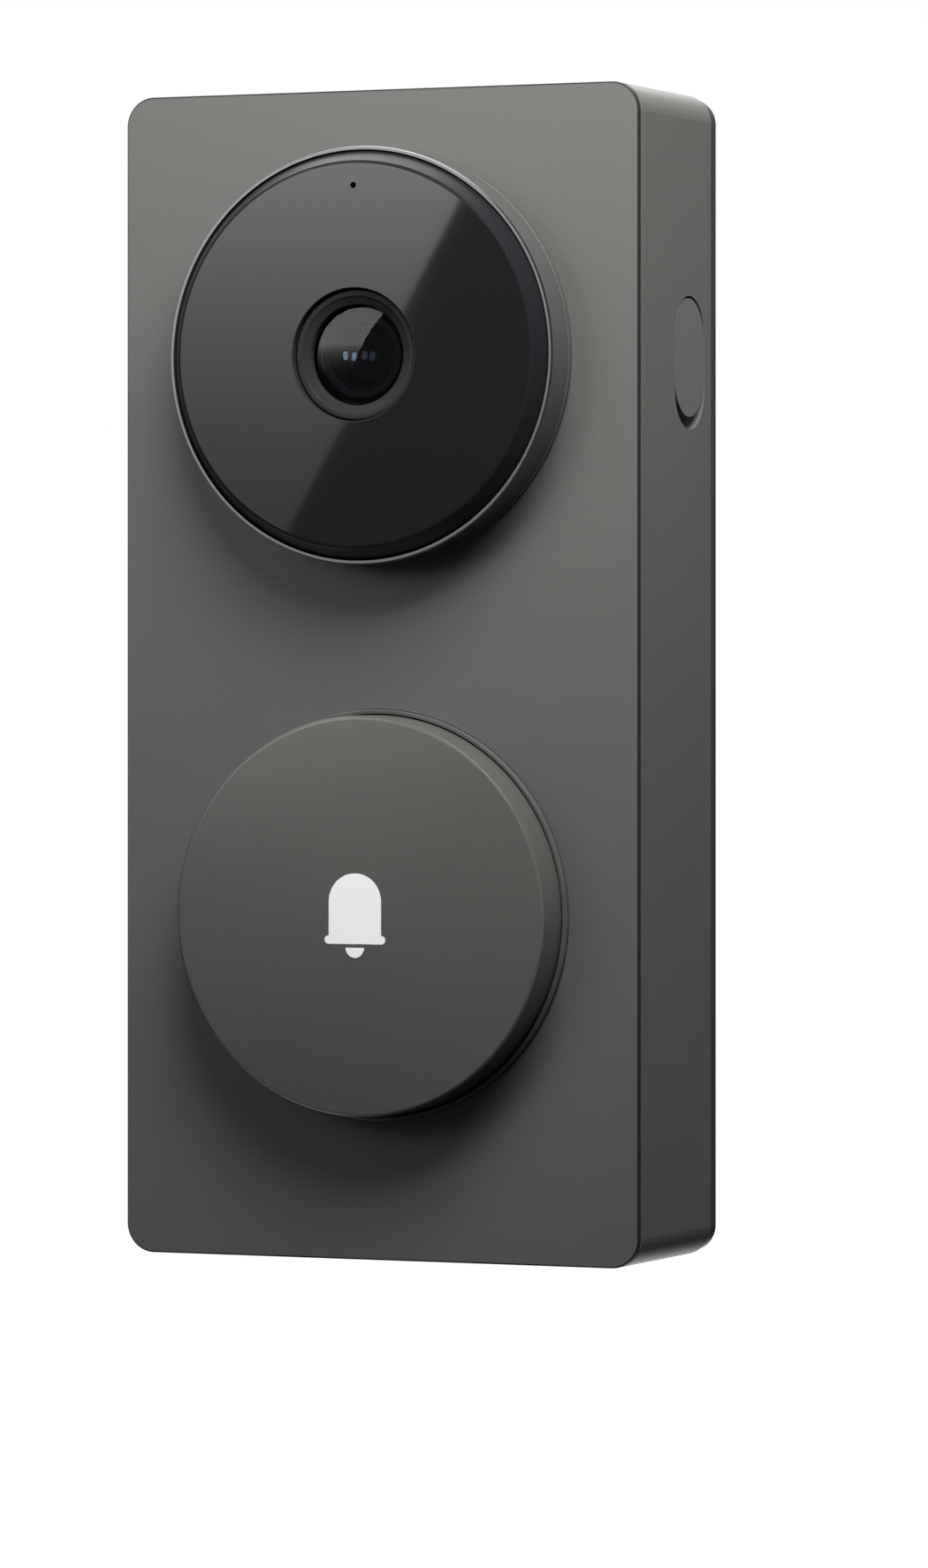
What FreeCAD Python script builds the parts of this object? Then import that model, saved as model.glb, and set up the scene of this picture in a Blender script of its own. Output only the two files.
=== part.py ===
import FreeCAD, Part
import math
import os
import re
import Sketcher
from FreeCAD import Placement, Rotation, Vector

# Video doorbell, in millimetres. The wall is the plane y = 0 and the front faces -Y.
# X runs to the doorbell's right as a visitor sees it, and Z runs up. The origin is the middle of
# the two wall screws. A "depth" is a distance out from the wall, so a depth d lies at y = -d.

SIZES = {
    # overall
    "body_width": 67.0,
    "body_height": 140.0,
    "body_depth": 25.5,
    "corner_radius": 3.5,
    "wall": 2.0,
    "edge_radius": 0.6,
    "weld": 0.2,
    # wall plate
    "plate_thick": 1.6,
    "plate_inset": 0.3,
    "mount_gap": 0.3,
    "screw_spacing": 90.0,
    "screw_hole_radius": 2.2,
    "screw_hole_bevel": 0.9,
    "window_width": 26.0,
    "window_tall": 16.0,
    "window_round": 3.0,
    "terminal_drop": 21.0,
    "hook_width": 22.0,
    "hook_thick": 3.0,
    "hook_reach": 3.8,
    "hook_clearance": 0.2,
    "upper_hook_edge": 16.0,
    "lower_hook_edge": 8.2,
    "latch_width": 9.0,
    "latch_thick": 0.4,
    "latch_foot": 9.0,
    "latch_catch": 1.9,
    "latch_edge": 2.0,
    "latch_seat": 0.6,
    "latch_fit": 0.2,
    "latch_rise": 1.4,
    "catch_gap": 0.25,
    "latch_slot": 2.4,
    "pin_hole_radius": 0.8,
    "magnet_radius": 2.5,
    "magnet_thick": 1.1,
    "reed_side": 26.5,
    "reed_drop": 6.0,
    "reed_radius": 1.1,
    "reed_length": 13.0,
    # casing
    "fascia_thick": 0.6,
    "shadow_gap": 0.5,
    "shadow_inset": 0.45,
    "frame_thick": 2.5,
    "frame_gap": 0.3,
    "seal_thick": 1.0,
    "seal_depth": 0.9,
    "seal_rise": 0.7,
    "post_inset": 7.5,
    "boss_side": 6.0,
    "boss_radius": 3.2,
    "post_radius": 2.4,
    "boss_length": 13.0,
    "case_screw_radius": 1.2,
    "case_head_radius": 2.2,
    "case_head_thick": 1.4,
    "case_screw_grip": 3.0,
    "screw_gap": 0.15,
    "slot_width": 1.4,
    "slot_length": 5.0,
    "slot_pitch": 3.4,
    "slot_round": 0.6,
    # camera
    "top_margin": 7.0,
    "bezel_radius": 25.0,
    "bezel_proud": 5.8,
    "bezel_rim": 0.55,
    "bezel_chamfer": 0.25,
    "bezel_overlap": 1.1,
    "bezel_wall": 0.5,
    "bezel_tail": 3.1,
    "cover_gap": 0.15,
    "cover_bevel": 1.4,
    "cover_crest": 2.0,
    "eye_sink": 1.1,
    "cover_shelf": 3.3,
    "cover_seal_thick": 0.3,
    "cover_wall": 2.3,
    "cover_rim": 2.0,
    "eye_radius": 7.9,
    "mic_hole_radius": 0.4,
    "mic_edge": 2.0,
    "cup_gap": 0.1,
    "cup_wall": 1.2,
    "cup_floor": 1.2,
    "cup_flange": 3.6,
    "cup_flange_thick": 1.4,
    "cup_screw_radius": 0.8,
    "cup_head_thick": 1.0,
    "cup_screw_grip": 2.0,
    "lens_ring_gap": 0.1,
    "lens_seat": 5.9,
    "lens_depth": 1.7,
    "element_edge": 0.5,
    "front_element_depth": 1.8,
    "rear_element_depth": 4.6,
    "lens_edge": 1.0,
    "lens_crown": 0.8,
    "lens_hollow": 1.0,
    "ring_depth": 5.5,
    "barrel_radius": 4.9,
    "barrel_bore": 3.6,
    "barrel_length": 6.6,
    "holder_side": 12.0,
    "sensor_board_thick": 0.8,
    "sensor_board_gap": 2.3,
    "sensor_wide": 8.0,
    "sensor_tall": 6.0,
    "sensor_thick": 0.8,
    "filter_side": 6.6,
    "filter_thick": 0.3,
    "filter_gap": 0.5,
    "holder_bore": 2.8,
    "holder_seat": 1.6,
    "led_board_inner": 10.5,
    "led_board_thick": 0.8,
    "led_side": 2.8,
    "led_tall": 1.2,
    "light_sensor_side": 2.0,
    "light_sensor_tall": 0.7,
    "mic_wide": 3.8,
    "mic_tall": 1.1,
    "gasket_radius": 1.6,
    "ribbon_width": 10.0,
    "ribbon_thick": 0.3,
    "ribbon_run": 5.0,
    "connector_tall": 3.5,
    # button
    "button_radius": 23.9,
    "button_proud": 6.1,
    "button_crown": 0.9,
    "button_edge": 0.4,
    "button_wall": 1.6,
    "button_gap": 0.2,
    "button_spacing": 66.7,
    "button_travel": 0.6,
    "skirt_gap": 1.0,
    "ring_wall": 0.5,
    "ring_proud": 0.8,
    "ring_flange": 1.0,
    "ring_flange_thick": 0.9,
    "ring_fit": 0.05,
    "bell_half": 3.4,
    "bell_brim_half": 3.95,
    "bell_brim": 1.0,
    "bell_tall": 8.4,
    "bell_gap": 0.43,
    "clapper_half": 1.2,
    "clapper_tall": 1.44,
    "bell_deep": 0.5,
    "carrier_thick": 1.2,
    "carrier_gap": 0.1,
    "presser_radius": 2.5,
    "pillar_radius": 6.0,
    "carrier_rise": 0.8,
    "touch_gap": 0.05,
    "guide_circle": 15.0,
    "guide_radius": 1.5,
    "guide_fit": 0.08,
    "guide_tail": 0.9,
    "clip_radius": 2.6,
    "clip_thick": 0.4,
    "membrane_thick": 0.5,
    "button_board_side": 54.0,
    "button_board_gap": 2.9,
    "button_board_thick": 1.2,
    "board_corner_inset": 3.2,
    "button_screw_radius": 0.8,
    "button_head_radius": 1.5,
    "button_head_thick": 1.0,
    "ring_led_side": 1.6,
    "ring_led_tall": 0.8,
    "switch_side": 6.2,
    "switch_tall": 1.3,
    "plunger_radius": 1.6,
    "plunger_fit": 0.05,
    # electronics
    "standoff_height": 10.5,
    "standoff_radius": 2.6,
    "standoff_side": 25.0,
    "board_width": 54.0,
    "board_top_gap": 11.0,
    "board_foot_gap": 21.0,
    "board_thick": 1.2,
    "board_screw_radius": 1.0,
    "board_head_radius": 1.9,
    "board_head_thick": 1.2,
    "board_screw_grip": 4.0,
    "can_tall": 1.8,
    "standoff_inset": 4.0,
    "battery_wide": 42.0,
    "battery_tall": 47.0,
    "battery_thick": 8.4,
    "battery_side": -5.0,
    "battery_rise": 26.5,
    "battery_round": 1.5,
    "pad_thick": 0.4,
    "lead_radius": 0.8,
    "lead_run": 4.0,
    "lead_bend": 2.5,
    "plug_side": 5.0,
    "plug_thick": 1.6,
    "speaker_wide": 30.0,
    "speaker_tall": 15.0,
    "speaker_thick": 10.0,
    "speaker_rear": 6.2,
    "mesh_thick": 0.3,
    "antenna_thick": 0.25,
    "antenna_tall": 44.0,
    "antenna_wide": 9.0,
    "antenna_drop": 22.0,
    "antenna_rear": 8.0,
    "terminal_wide": 30.0,
    "terminal_tall": 20.0,
    "terminal_thick": 8.5,
    "terminal_wall": 2.2,
    "terminal_floor": 3.0,
    "terminal_pitch": 11.0,
    "terminal_screw_radius": 3.0,
    "terminal_screw_tall": 2.2,
    # side port
    "port_rise": 37.4,
    "port_depth": 9.35,
    "port_long": 16.0,
    "port_wide": 9.6,
    "port_recess": 1.5,
    "port_floor": 2.2,
    "port_notch": 1.5,
    "cover_clearance": 0.3,
    "cover_thick": 1.3,
    "cover_inset": 0.05,
    "plug_reach": 0.9,
    "plug_slack": 0.4,
    "usb_long": 8.94,
    "usb_wide": 3.26,
    "usb_shell": 0.3,
    "usb_deep": 7.3,
    "usb_cavity": 6.2,
    "usb_rise": 2.6,
    "usb_slack": 0.3,
    "reset_drop": 4.6,
    "reset_radius": 1.2,
    "reset_fit": 0.08,
    "reset_collar": 1.8,
    "reset_travel": 0.3,
    "reset_switch_side": 3.5,
    "reset_switch_tall": 2.6,
    "port_board_thick": 1.2,
    "port_board_tall": 20.0,
    "port_board_wide": 8.6,
}

# ---------------------------------------------------------------- document and sheet
doc = FreeCAD.newDocument("video_doorbell")
sheet = doc.addObject("Spreadsheet::Sheet", "Sizes")
for row, (alias, size) in enumerate(SIZES.items(), start=1):
    sheet.set(f"A{row}", alias)
    sheet.set(f"B{row}", str(size))
    sheet.setAlias(f"B{row}", alias)
doc.recompute()

# Depths and heights that several pieces share, as formulas on the sheet's cells.
HOUSING_REAR = "(plate_thick + mount_gap)"
FLOOR = f"({HOUSING_REAR} + wall)"
FASCIA_REAR = "(body_depth - fascia_thick)"
RIM = f"({FASCIA_REAR} - shadow_gap)"
FRAME_REAR = f"({RIM} - frame_thick)"
CAMERA_Z = "(body_height/2 - top_margin - bezel_radius)"
BUTTON_Z = f"({CAMERA_Z} - button_spacing)"
TERMINAL_Z = "(-terminal_drop)"
BOARD_REAR = f"({FLOOR} + standoff_height)"
BOARD_FRONT = f"({BOARD_REAR} + board_thick)"
BOSS_X = "(body_width/2 - boss_side)"
BOSS_Z = "(body_height/2 - post_inset)"
BOSS_FRONT = f"({FLOOR} + boss_length)"
STANDOFF_TOP = "(body_height/2 - board_top_gap - standoff_inset)"
STANDOFF_FOOT = "(-body_height/2 + board_foot_gap + standoff_inset)"
INSIDE_X = "(body_width/2 - wall)"
INSIDE_Z = "(body_height/2 - wall)"

nodes = {}


def full(formula):
    """Point every size named in a formula at its cell of the sheet."""
    return re.sub(r"[a-z][a-z_]+", lambda word: f"Sizes.{word[0]}" if word[0] in SIZES else word[0], formula)


def value(formula):
    """Work a formula out now, for choosing edges and for a sketch's first drawing."""
    return float(sheet.evalExpression(full(formula)))


def bind(piece, **formulas):
    """Bind properties to formulas: x, y and z stand for the Placement's position."""
    for name, formula in formulas.items():
        target = f"Placement.Base.{name}" if name in ("x", "y", "z") else name
        piece.setExpression(target, full(formula))


def keep(label, piece):
    """Enter a finished piece as a sub-part under its own name."""
    piece.Label = label
    nodes[label] = piece
    return piece


# ---------------------------------------------------------------- sketches
def fix(sketch, geometry, point, x, y):
    """Hold a sketch point at two formulas, measured from the origin."""
    for kind, axis, formula in (("DistanceX", -2, x), ("DistanceY", -1, y)):
        if formula == "0":
            sketch.addConstraint(Sketcher.Constraint("PointOnObject", geometry, point, axis))
            continue
        name = f"{kind}_{geometry}_{point}"
        index = sketch.addConstraint(Sketcher.Constraint(kind, -1, 1, geometry, point, value(formula)))
        sketch.renameConstraint(index, name)
        sketch.setExpression(f"Constraints.{name}", full(formula))


def fix_radius(sketch, geometry, formula):
    name = f"Radius_{geometry}"
    index = sketch.addConstraint(Sketcher.Constraint("Radius", geometry, value(formula)))
    sketch.renameConstraint(index, name)
    sketch.setExpression(f"Constraints.{name}", full(formula))


def circle(x, y, radius):
    """A circle about a point given by formulas."""
    def draw(sketch):
        middle = Vector(value(x), value(y), 0)
        index = sketch.addGeometry(Part.Circle(middle, Vector(0, 0, 1), value(radius)), False)
        fix(sketch, index, 3, x, y)
        fix_radius(sketch, index, radius)
    return draw


def loop(corners):
    """A closed outline of straight edges through corners given by formulas."""
    def draw(sketch):
        points = [Vector(value(x), value(y), 0) for x, y in corners]
        count = len(points)
        first = sketch.GeometryCount
        for i in range(count):
            sketch.addGeometry(Part.LineSegment(points[i], points[(i + 1) % count]), False)
        for i, (x, y) in enumerate(corners):
            before = first + (i - 1) % count
            sketch.addConstraint(Sketcher.Constraint("Coincident", before, 2, first + i, 1))
            fix(sketch, first + i, 1, x, y)
    return draw


def box_corners(x, y, wide, tall):
    """The four corner formulas of a rectangle about a middle, going round anticlockwise."""
    return [(f"({x}) + {sx}*({wide})/2", f"({y}) + {sy}*({tall})/2")
            for sx, sy in ((-1, -1), (1, -1), (1, 1), (-1, 1))]


def rectangle(x, y, wide, tall):
    return loop(box_corners(x, y, wide, tall))


def arcs_and_sides(middles, radius, sweeps):
    """A rounded outline: arcs about the middles, joined by tangent straight sides."""
    def draw(sketch):
        first = sketch.GeometryCount
        size = value(radius)
        count = len(middles)
        arcs = []
        for (x, y), (start, end) in zip(middles, sweeps):
            middle = Vector(value(x), value(y), 0)
            whole = Part.Circle(middle, Vector(0, 0, 1), size)
            arcs.append(Part.ArcOfCircle(whole, math.radians(start), math.radians(end)))
            sketch.addGeometry(arcs[-1], False)
        for i in range(count):
            side = Part.LineSegment(arcs[i].EndPoint, arcs[(i + 1) % count].StartPoint)
            sketch.addGeometry(side, False)
        for i, (x, y) in enumerate(middles):
            side = first + count + i
            fix(sketch, first + i, 3, x, y)
            fix_radius(sketch, first + i, radius)
            sketch.addConstraint(Sketcher.Constraint("Tangent", first + i, 2, side, 1))
            sketch.addConstraint(Sketcher.Constraint("Tangent", side, 2, first + (i + 1) % count, 1))
    return draw


def rounded(x, y, wide, tall, radius):
    """A rectangle with round corners."""
    middles = box_corners(x, y, f"({wide}) - 2*({radius})", f"({tall}) - 2*({radius})")
    return arcs_and_sides(middles, radius, ((180, 270), (270, 360), (0, 90), (90, 180)))


def pill(x, y, wide, tall):
    """An upright pill: two half circles joined by straight sides."""
    shift = f"(({tall}) - ({wide}))/2"
    middles = [(x, f"({y}) + {shift}"), (x, f"({y}) - {shift}")]
    return arcs_and_sides(middles, f"({wide})/2", ((0, 180), (180, 360)))


def sketch_on(body, role, offset, outlines):
    """A sketch on one of the body's own origin planes, moved out along the plane's normal."""
    plane = [item for item in body.Origin.OriginFeatures if item.Role == role][0]
    sketch = body.newObject("Sketcher::SketchObject", f"{body.Name}_sketch")
    sketch.AttachmentSupport = (plane, [""])
    sketch.MapMode = "FlatFace"
    sketch.setExpression("AttachmentOffset.Base.z", full(offset))
    doc.recompute()
    for outline in outlines:
        outline(sketch)
    doc.recompute()
    return sketch


# ---------------------------------------------------------------- PartDesign features
FRONT = "XZ_Plane"  # its normal points out of the front, so an offset here is a depth
SIDE = "YZ_Plane"   # its normal points to the right
UNDER = "XY_Plane"  # its normal points up


def new_body(label):
    body = doc.addObject("PartDesign::Body", label)
    keep(label, body)
    return body


def pad(body, role, offset, length, outlines):
    """Add material from a plane, going along its normal."""
    feature = body.newObject("PartDesign::Pad", f"{body.Name}_pad")
    feature.Profile = sketch_on(body, role, offset, outlines)
    feature.setExpression("Length", full(length))
    doc.recompute()
    return feature


def pocket(body, role, offset, length, outlines):
    """Cut material from a plane, going against its normal, and check that it cut something."""
    before = body.Tip.Shape.Volume
    feature = body.newObject("PartDesign::Pocket", f"{body.Name}_pocket")
    feature.Profile = sketch_on(body, role, offset, outlines)
    feature.setExpression("Length", full(length))
    doc.recompute()
    if not feature.Shape.Volume < before - 1e-6:
        raise RuntimeError(f"a pocket in {body.Label} cut nothing")
    return feature


def soften(body, kind, radius, chosen):
    """Fillet or chamfer the edges of the body's tip that pass a test."""
    tip = body.Tip
    names = [f"Edge{i + 1}" for i, edge in enumerate(tip.Shape.Edges) if chosen(edge)]
    if not names:
        raise RuntimeError(f"no edge of {body.Label} was chosen")
    feature = body.newObject(f"PartDesign::{kind}", f"{body.Name}_{kind.lower()}")
    feature.Base = (tip, names)
    feature.setExpression("Radius" if kind == "Fillet" else "Size", full(radius))
    tip.Visibility = False
    doc.recompute()
    return feature


def lies_at(depth, outer=None):
    """Edges that lie flat at a depth, and if outer is given, on the outline of that half width."""
    def test(edge):
        box = edge.BoundBox
        flat = abs(box.YMin + depth) < 1e-4 and abs(box.YMax + depth) < 1e-4
        if not flat or outer is None:
            return flat
        half_wide, half_tall = outer
        reach_x = max(abs(box.XMin), abs(box.XMax))
        reach_z = max(abs(box.ZMin), abs(box.ZMax))
        return reach_x > half_wide - 1e-4 or reach_z > half_tall - 1e-4
    return test


def arc_between(here, there):
    """The arc about a point on the turning axis that joins two profile points."""
    middle = (here.x**2 - there.x**2 + here.y**2 - there.y**2) / (2 * (here.y - there.y))
    reach = math.hypot(here.x, here.y - middle)
    turn = math.atan2(here.y - middle, here.x) / 2 + math.atan2(there.y - middle, there.x) / 2
    return Part.Arc(here, Vector(reach * math.cos(turn), middle + reach * math.sin(turn), 0), there)


def turned(label, height, profile):
    """A ring turned about a front-to-back axis at a height.

    The profile is a list of (radius, depth) corners. A third word, dome, makes the edge from that
    corner to the next a part of a circle about a point on the axis.
    """
    body = new_body(label)
    plane = [item for item in body.Origin.OriginFeatures if item.Role == UNDER][0]
    sketch = body.newObject("Sketcher::SketchObject", f"{label}_profile")
    sketch.AttachmentSupport = (plane, [""])
    sketch.MapMode = "FlatFace"
    doc.recompute()
    corners = [(row[0], f"-({row[1]})") for row in profile]
    points = [Vector(value(x), value(y), 0) for x, y in corners]
    ends = []
    for i, row in enumerate(profile):
        here = points[i]
        there = points[(i + 1) % len(points)]
        if len(row) == 3:
            index = sketch.addGeometry(arc_between(here, there), False)
            forwards = (sketch.Geometry[index].StartPoint - here).Length < 1e-6
            ends.append((1, 2) if forwards else (2, 1))
            sketch.addConstraint(Sketcher.Constraint("PointOnObject", index, 3, -2))
        else:
            sketch.addGeometry(Part.LineSegment(here, there), False)
            ends.append((1, 2))
    for i, (x, y) in enumerate(corners):
        before = (i - 1) % len(points)
        sketch.addConstraint(Sketcher.Constraint("Coincident", before, ends[before][1], i, ends[i][0]))
        fix(sketch, i, ends[i][0], x, y)
    doc.recompute()
    feature = body.newObject("PartDesign::Revolution", f"{label}_turn")
    feature.Profile = sketch
    feature.ReferenceAxis = (sketch, ["V_Axis"])
    feature.Angle = 360
    doc.recompute()
    bind(body, z=height)
    doc.recompute()
    return body


def turned_solid(label, height, profile):
    """The same for a piece whose domes meet the axis, which a sketch can't be turned about."""
    points = [Vector(value(row[0]), -value(row[1]), 0) for row in profile]
    edges = []
    for i, row in enumerate(profile):
        here = points[i]
        there = points[(i + 1) % len(points)]
        curve = arc_between(here, there) if len(row) == 3 else Part.LineSegment(here, there)
        edges.append(curve.toShape())
    piece = doc.addObject("Part::Feature", label)
    piece.Shape = Part.Face(Part.Wire(edges)).revolve(Vector(0, 0, 0), Vector(0, 1, 0), 360)
    bind(piece, z=height)
    doc.recompute()
    return piece


# ---------------------------------------------------------------- primitives and booleans
def block(label, x, z, rear, wide, tall, thick):
    """A box about the point (x, z), from a rear depth forwards."""
    piece = doc.addObject("Part::Box", label)
    bind(piece, Length=wide, Width=thick, Height=tall)
    bind(piece, x=f"({x}) - ({wide})/2", y=f"-({rear}) - ({thick})", z=f"({z}) - ({tall})/2")
    return piece


def rod(label, x, z, rear, length, radius):
    """A cylinder about a front-to-back axis, from a rear depth forwards."""
    piece = doc.addObject("Part::Cylinder", label)
    piece.Placement = Placement(Vector(0, 0, 0), Rotation(Vector(1, 0, 0), 90))
    bind(piece, Radius=radius, Height=length, x=x, y=f"-({rear})", z=z)
    return piece


def side_rod(label, left, depth, z, length, radius):
    """A cylinder about a left-to-right axis, from its left end."""
    piece = doc.addObject("Part::Cylinder", label)
    piece.Placement = Placement(Vector(0, 0, 0), Rotation(Vector(0, 1, 0), 90))
    bind(piece, Radius=radius, Height=length, x=left, y=f"-({depth})", z=z)
    return piece


def fuse(label, pieces):
    piece = doc.addObject("Part::MultiFuse", label)
    piece.Shapes = pieces
    return piece


def cut(label, base, tools):
    piece = doc.addObject("Part::Cut", label)
    piece.Base = base
    piece.Tool = tools[0] if len(tools) == 1 else fuse(f"{label}_tools", tools)
    return piece


def overlap_of(label, pieces):
    piece = doc.addObject("Part::MultiCommon", label)
    piece.Shapes = pieces
    return piece


def group(label, pieces):
    """Separate solids of one kind, kept together as one sub-part."""
    piece = doc.addObject("Part::Compound", label)
    piece.Links = pieces
    return keep(label, piece)


def around(count, radius, start, x="0", z="0"):
    """Places evenly spaced on a circle, as pairs of formulas. The start is in degrees."""
    places = []
    for i in range(count):
        turn = start + i * 360 / count
        places.append((f"({x}) + ({radius})*cos({turn} deg)", f"({z}) + ({radius})*sin({turn} deg)"))
    return places


def screws(label, places, head_rear, head_thick, head_radius, tip, radius, driver):
    """Pan-head screws that go in from the rear, with a hex or slot driver recess cut in the head."""
    pieces = []
    for i, (x, z) in enumerate(places):
        head = rod(f"{label}_head_{i}", x, z, head_rear, head_thick, head_radius)
        shank_rear = f"({head_rear}) + ({head_thick})"
        shank = rod(f"{label}_shank_{i}", x, z, shank_rear, f"({tip}) - ({shank_rear})", radius)
        solid = fuse(f"{label}_solid_{i}", [head, shank])
        across = f"({head_radius})*1.1"
        narrow = f"({head_radius})*0.28"
        deep = f"({head_thick})*0.5"
        bars = [block(f"{label}_bar_{i}", x, z, head_rear, across, narrow, deep)]
        if driver == "cross":
            bars.append(block(f"{label}_cross_{i}", x, z, head_rear, narrow, across, deep))
        pieces.append(cut(f"{label}_{i}", solid, bars))
    return group(label, pieces)


CORNERS = ((-1, -1), (1, -1), (1, 1), (-1, 1))
CASE_SCREW_PLACES = [(f"{sx}*{BOSS_X}", f"{sz}*{BOSS_Z}") for sx, sz in CORNERS]
STANDOFF_PLACES = [(f"{side}*standoff_side", height)
                   for side in (-1, 1) for height in (STANDOFF_FOOT, STANDOFF_TOP)]

# ---------------------------------------------------------------- wall_plate
# Moulded plate that two countersunk screws hold on the wall. Two 45 degree tongues carry the
# doorbell, and the wires come through the window.
UPPER_HOOK = "(body_height/2 - upper_hook_edge)"
LOWER_HOOK = "(-body_height/2 + lower_hook_edge)"


def tongue_outline(foot, grow, rear, reach):
    """The slanted tongue's section, in (y, z): it leans up as it comes out from the wall."""
    low = f"({foot}) - ({grow})"
    high = f"({foot}) + hook_thick + ({grow})"
    rise = f"({reach})"
    root = f"({rear}) - plate_thick"
    return loop([(f"-({rear})", f"{low} + {root}"),
                 (f"-({rear}) - {rise}", f"{low} + {root} + {rise}"),
                 (f"-({rear}) - {rise}", f"{high} + {root} + {rise}"),
                 (f"-({rear})", f"{high} + {root}")])


plate = new_body("wall_plate")
pad(plate, FRONT, "0", "plate_thick", [
    rounded("0", "0", "body_width - 2*plate_inset", "body_height - 2*plate_inset",
            "corner_radius - plate_inset"),
])
soften(plate, "Chamfer", "plate_inset*0.6", lies_at(value("plate_thick")))
for foot in (UPPER_HOOK, LOWER_HOOK):
    pad(plate, SIDE, "-hook_width/2", "hook_width", [tongue_outline(foot, "0", "plate_thick*0.5",
                                                                  "hook_reach + plate_thick*0.5")])
pocket(plate, FRONT, "plate_thick", "plate_thick", [
    rounded("0", TERMINAL_Z, "window_width", "window_tall", "window_round"),
])
LATCH_Z = f"(-{INSIDE_Z} + latch_edge)"
LATCH_REAR = "(plate_thick - latch_seat)"
CATCH_REAR = f"({FLOOR} + catch_gap)"
pocket(plate, FRONT, "plate_thick", f"plate_thick - {LATCH_REAR}", [
    rectangle("0", f"{LATCH_Z} + latch_foot/2", "latch_width + 2*latch_fit", "latch_foot + 2*latch_fit"),
])
REED_Z = "(-reed_drop)"
pocket(plate, FRONT, "plate_thick", "magnet_thick + 0.1",
       [circle("-reed_side", REED_Z, "magnet_radius + 0.05")])
for side in (-1, 1):
    screw_z = f"{side}*screw_spacing/2"
    pocket(plate, FRONT, "plate_thick", "plate_thick", [circle("0", screw_z, "screw_hole_radius")])
doc.recompute()
SCREW_HOLE_RADIUS = value("screw_hole_radius")
PLATE_FACE = lies_at(value("plate_thick"))
soften(plate, "Chamfer", "screw_hole_bevel", lambda edge: edge.Curve.TypeId == "Part::GeomCircle"
       and abs(edge.Curve.Radius - SCREW_HOLE_RADIUS) < 1e-6 and PLATE_FACE(edge))

# ---------------------------------------------------------------- latch_spring
# A bent steel leaf with its foot on the plate. Its catch drops behind the housing's rear wall, and
# a pin pushed up through the underside lifts it.
foot = block("latch_foot_leaf", "0", f"{LATCH_Z} + latch_foot/2", LATCH_REAR, "latch_width", "latch_foot",
             "latch_thick")
leaf = block("latch_leaf", "0", f"{LATCH_Z} + latch_thick/2", LATCH_REAR, "latch_width", "latch_thick",
             f"{FLOOR} + latch_rise - {LATCH_REAR}")
catch = block("latch_catch_leaf", "0", f"{LATCH_Z} - latch_catch/2 + latch_thick/2", CATCH_REAR,
              "latch_width", "latch_catch", "latch_thick")
keep("latch_spring", fuse("latch_spring", [foot, leaf, catch]))

# ---------------------------------------------------------------- tamper_magnet
keep("tamper_magnet", rod("tamper_magnet", "-reed_side", REED_Z, "plate_thick - magnet_thick", "magnet_thick",
                          "magnet_radius"))

# ---------------------------------------------------------------- housing
# The moulded tub that holds everything, open at the front.
PORT_Z = "port_rise"
USB_Z = "(port_rise + usb_rise)"
RESET_Z = "(port_rise - reset_drop)"
PORT_FLOOR_X = "(body_width/2 - port_recess)"
PORT_INNER_X = f"({PORT_FLOOR_X} - port_floor)"
PORT_BOARD_FRONT = f"({PORT_FLOOR_X} - 0.4 - usb_deep)"

housing = new_body("housing")
pad(housing, FRONT, HOUSING_REAR, f"{RIM} - {HOUSING_REAR}", [
    rounded("0", "0", "body_width", "body_height", "corner_radius"),
])
soften(housing, "Fillet", "edge_radius", lies_at(value(HOUSING_REAR)))
pocket(housing, FRONT, RIM, f"{RIM} - {FLOOR}", [
    rounded("0", "0", "body_width - 2*wall", "body_height - 2*wall", "corner_radius - wall"),
])
for x, z in CASE_SCREW_PLACES:
    pad(housing, FRONT, f"{FLOOR} - weld", "boss_length + weld", [circle(x, z, "boss_radius")])
for x, z in STANDOFF_PLACES:
    pad(housing, FRONT, f"{FLOOR} - weld", "standoff_height + weld", [circle(x, z, "standoff_radius")])
for x, z in CASE_SCREW_PLACES:
    pocket(housing, FRONT, f"{HOUSING_REAR} + case_head_thick + 0.2", "case_head_thick + 0.3",
           [circle(x, z, "case_head_radius + screw_gap")])
    pocket(housing, FRONT, BOSS_FRONT, f"{BOSS_FRONT} - {HOUSING_REAR}",
           [circle(x, z, "case_screw_radius + screw_gap")])
for x, z in STANDOFF_PLACES:
    pocket(housing, FRONT, BOARD_REAR, "board_screw_grip + 1", [circle(x, z, "board_screw_radius")])
pocket(housing, FRONT, FLOOR, "wall", [
    rounded("0", TERMINAL_Z, "window_width", "window_tall", "window_round"),
])
for foot in (UPPER_HOOK, LOWER_HOOK):
    pocket(housing, SIDE, "hook_width/2 + hook_clearance", "hook_width + 2*hook_clearance", [
        tongue_outline(foot, "2*hook_clearance", f"{HOUSING_REAR} - 0.05", "wall + 0.1"),
    ])
pocket(housing, FRONT, FLOOR, "wall", [
    rectangle("0", f"{LATCH_Z} + latch_fit", "latch_width + 1", "latch_slot"),
])
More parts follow.
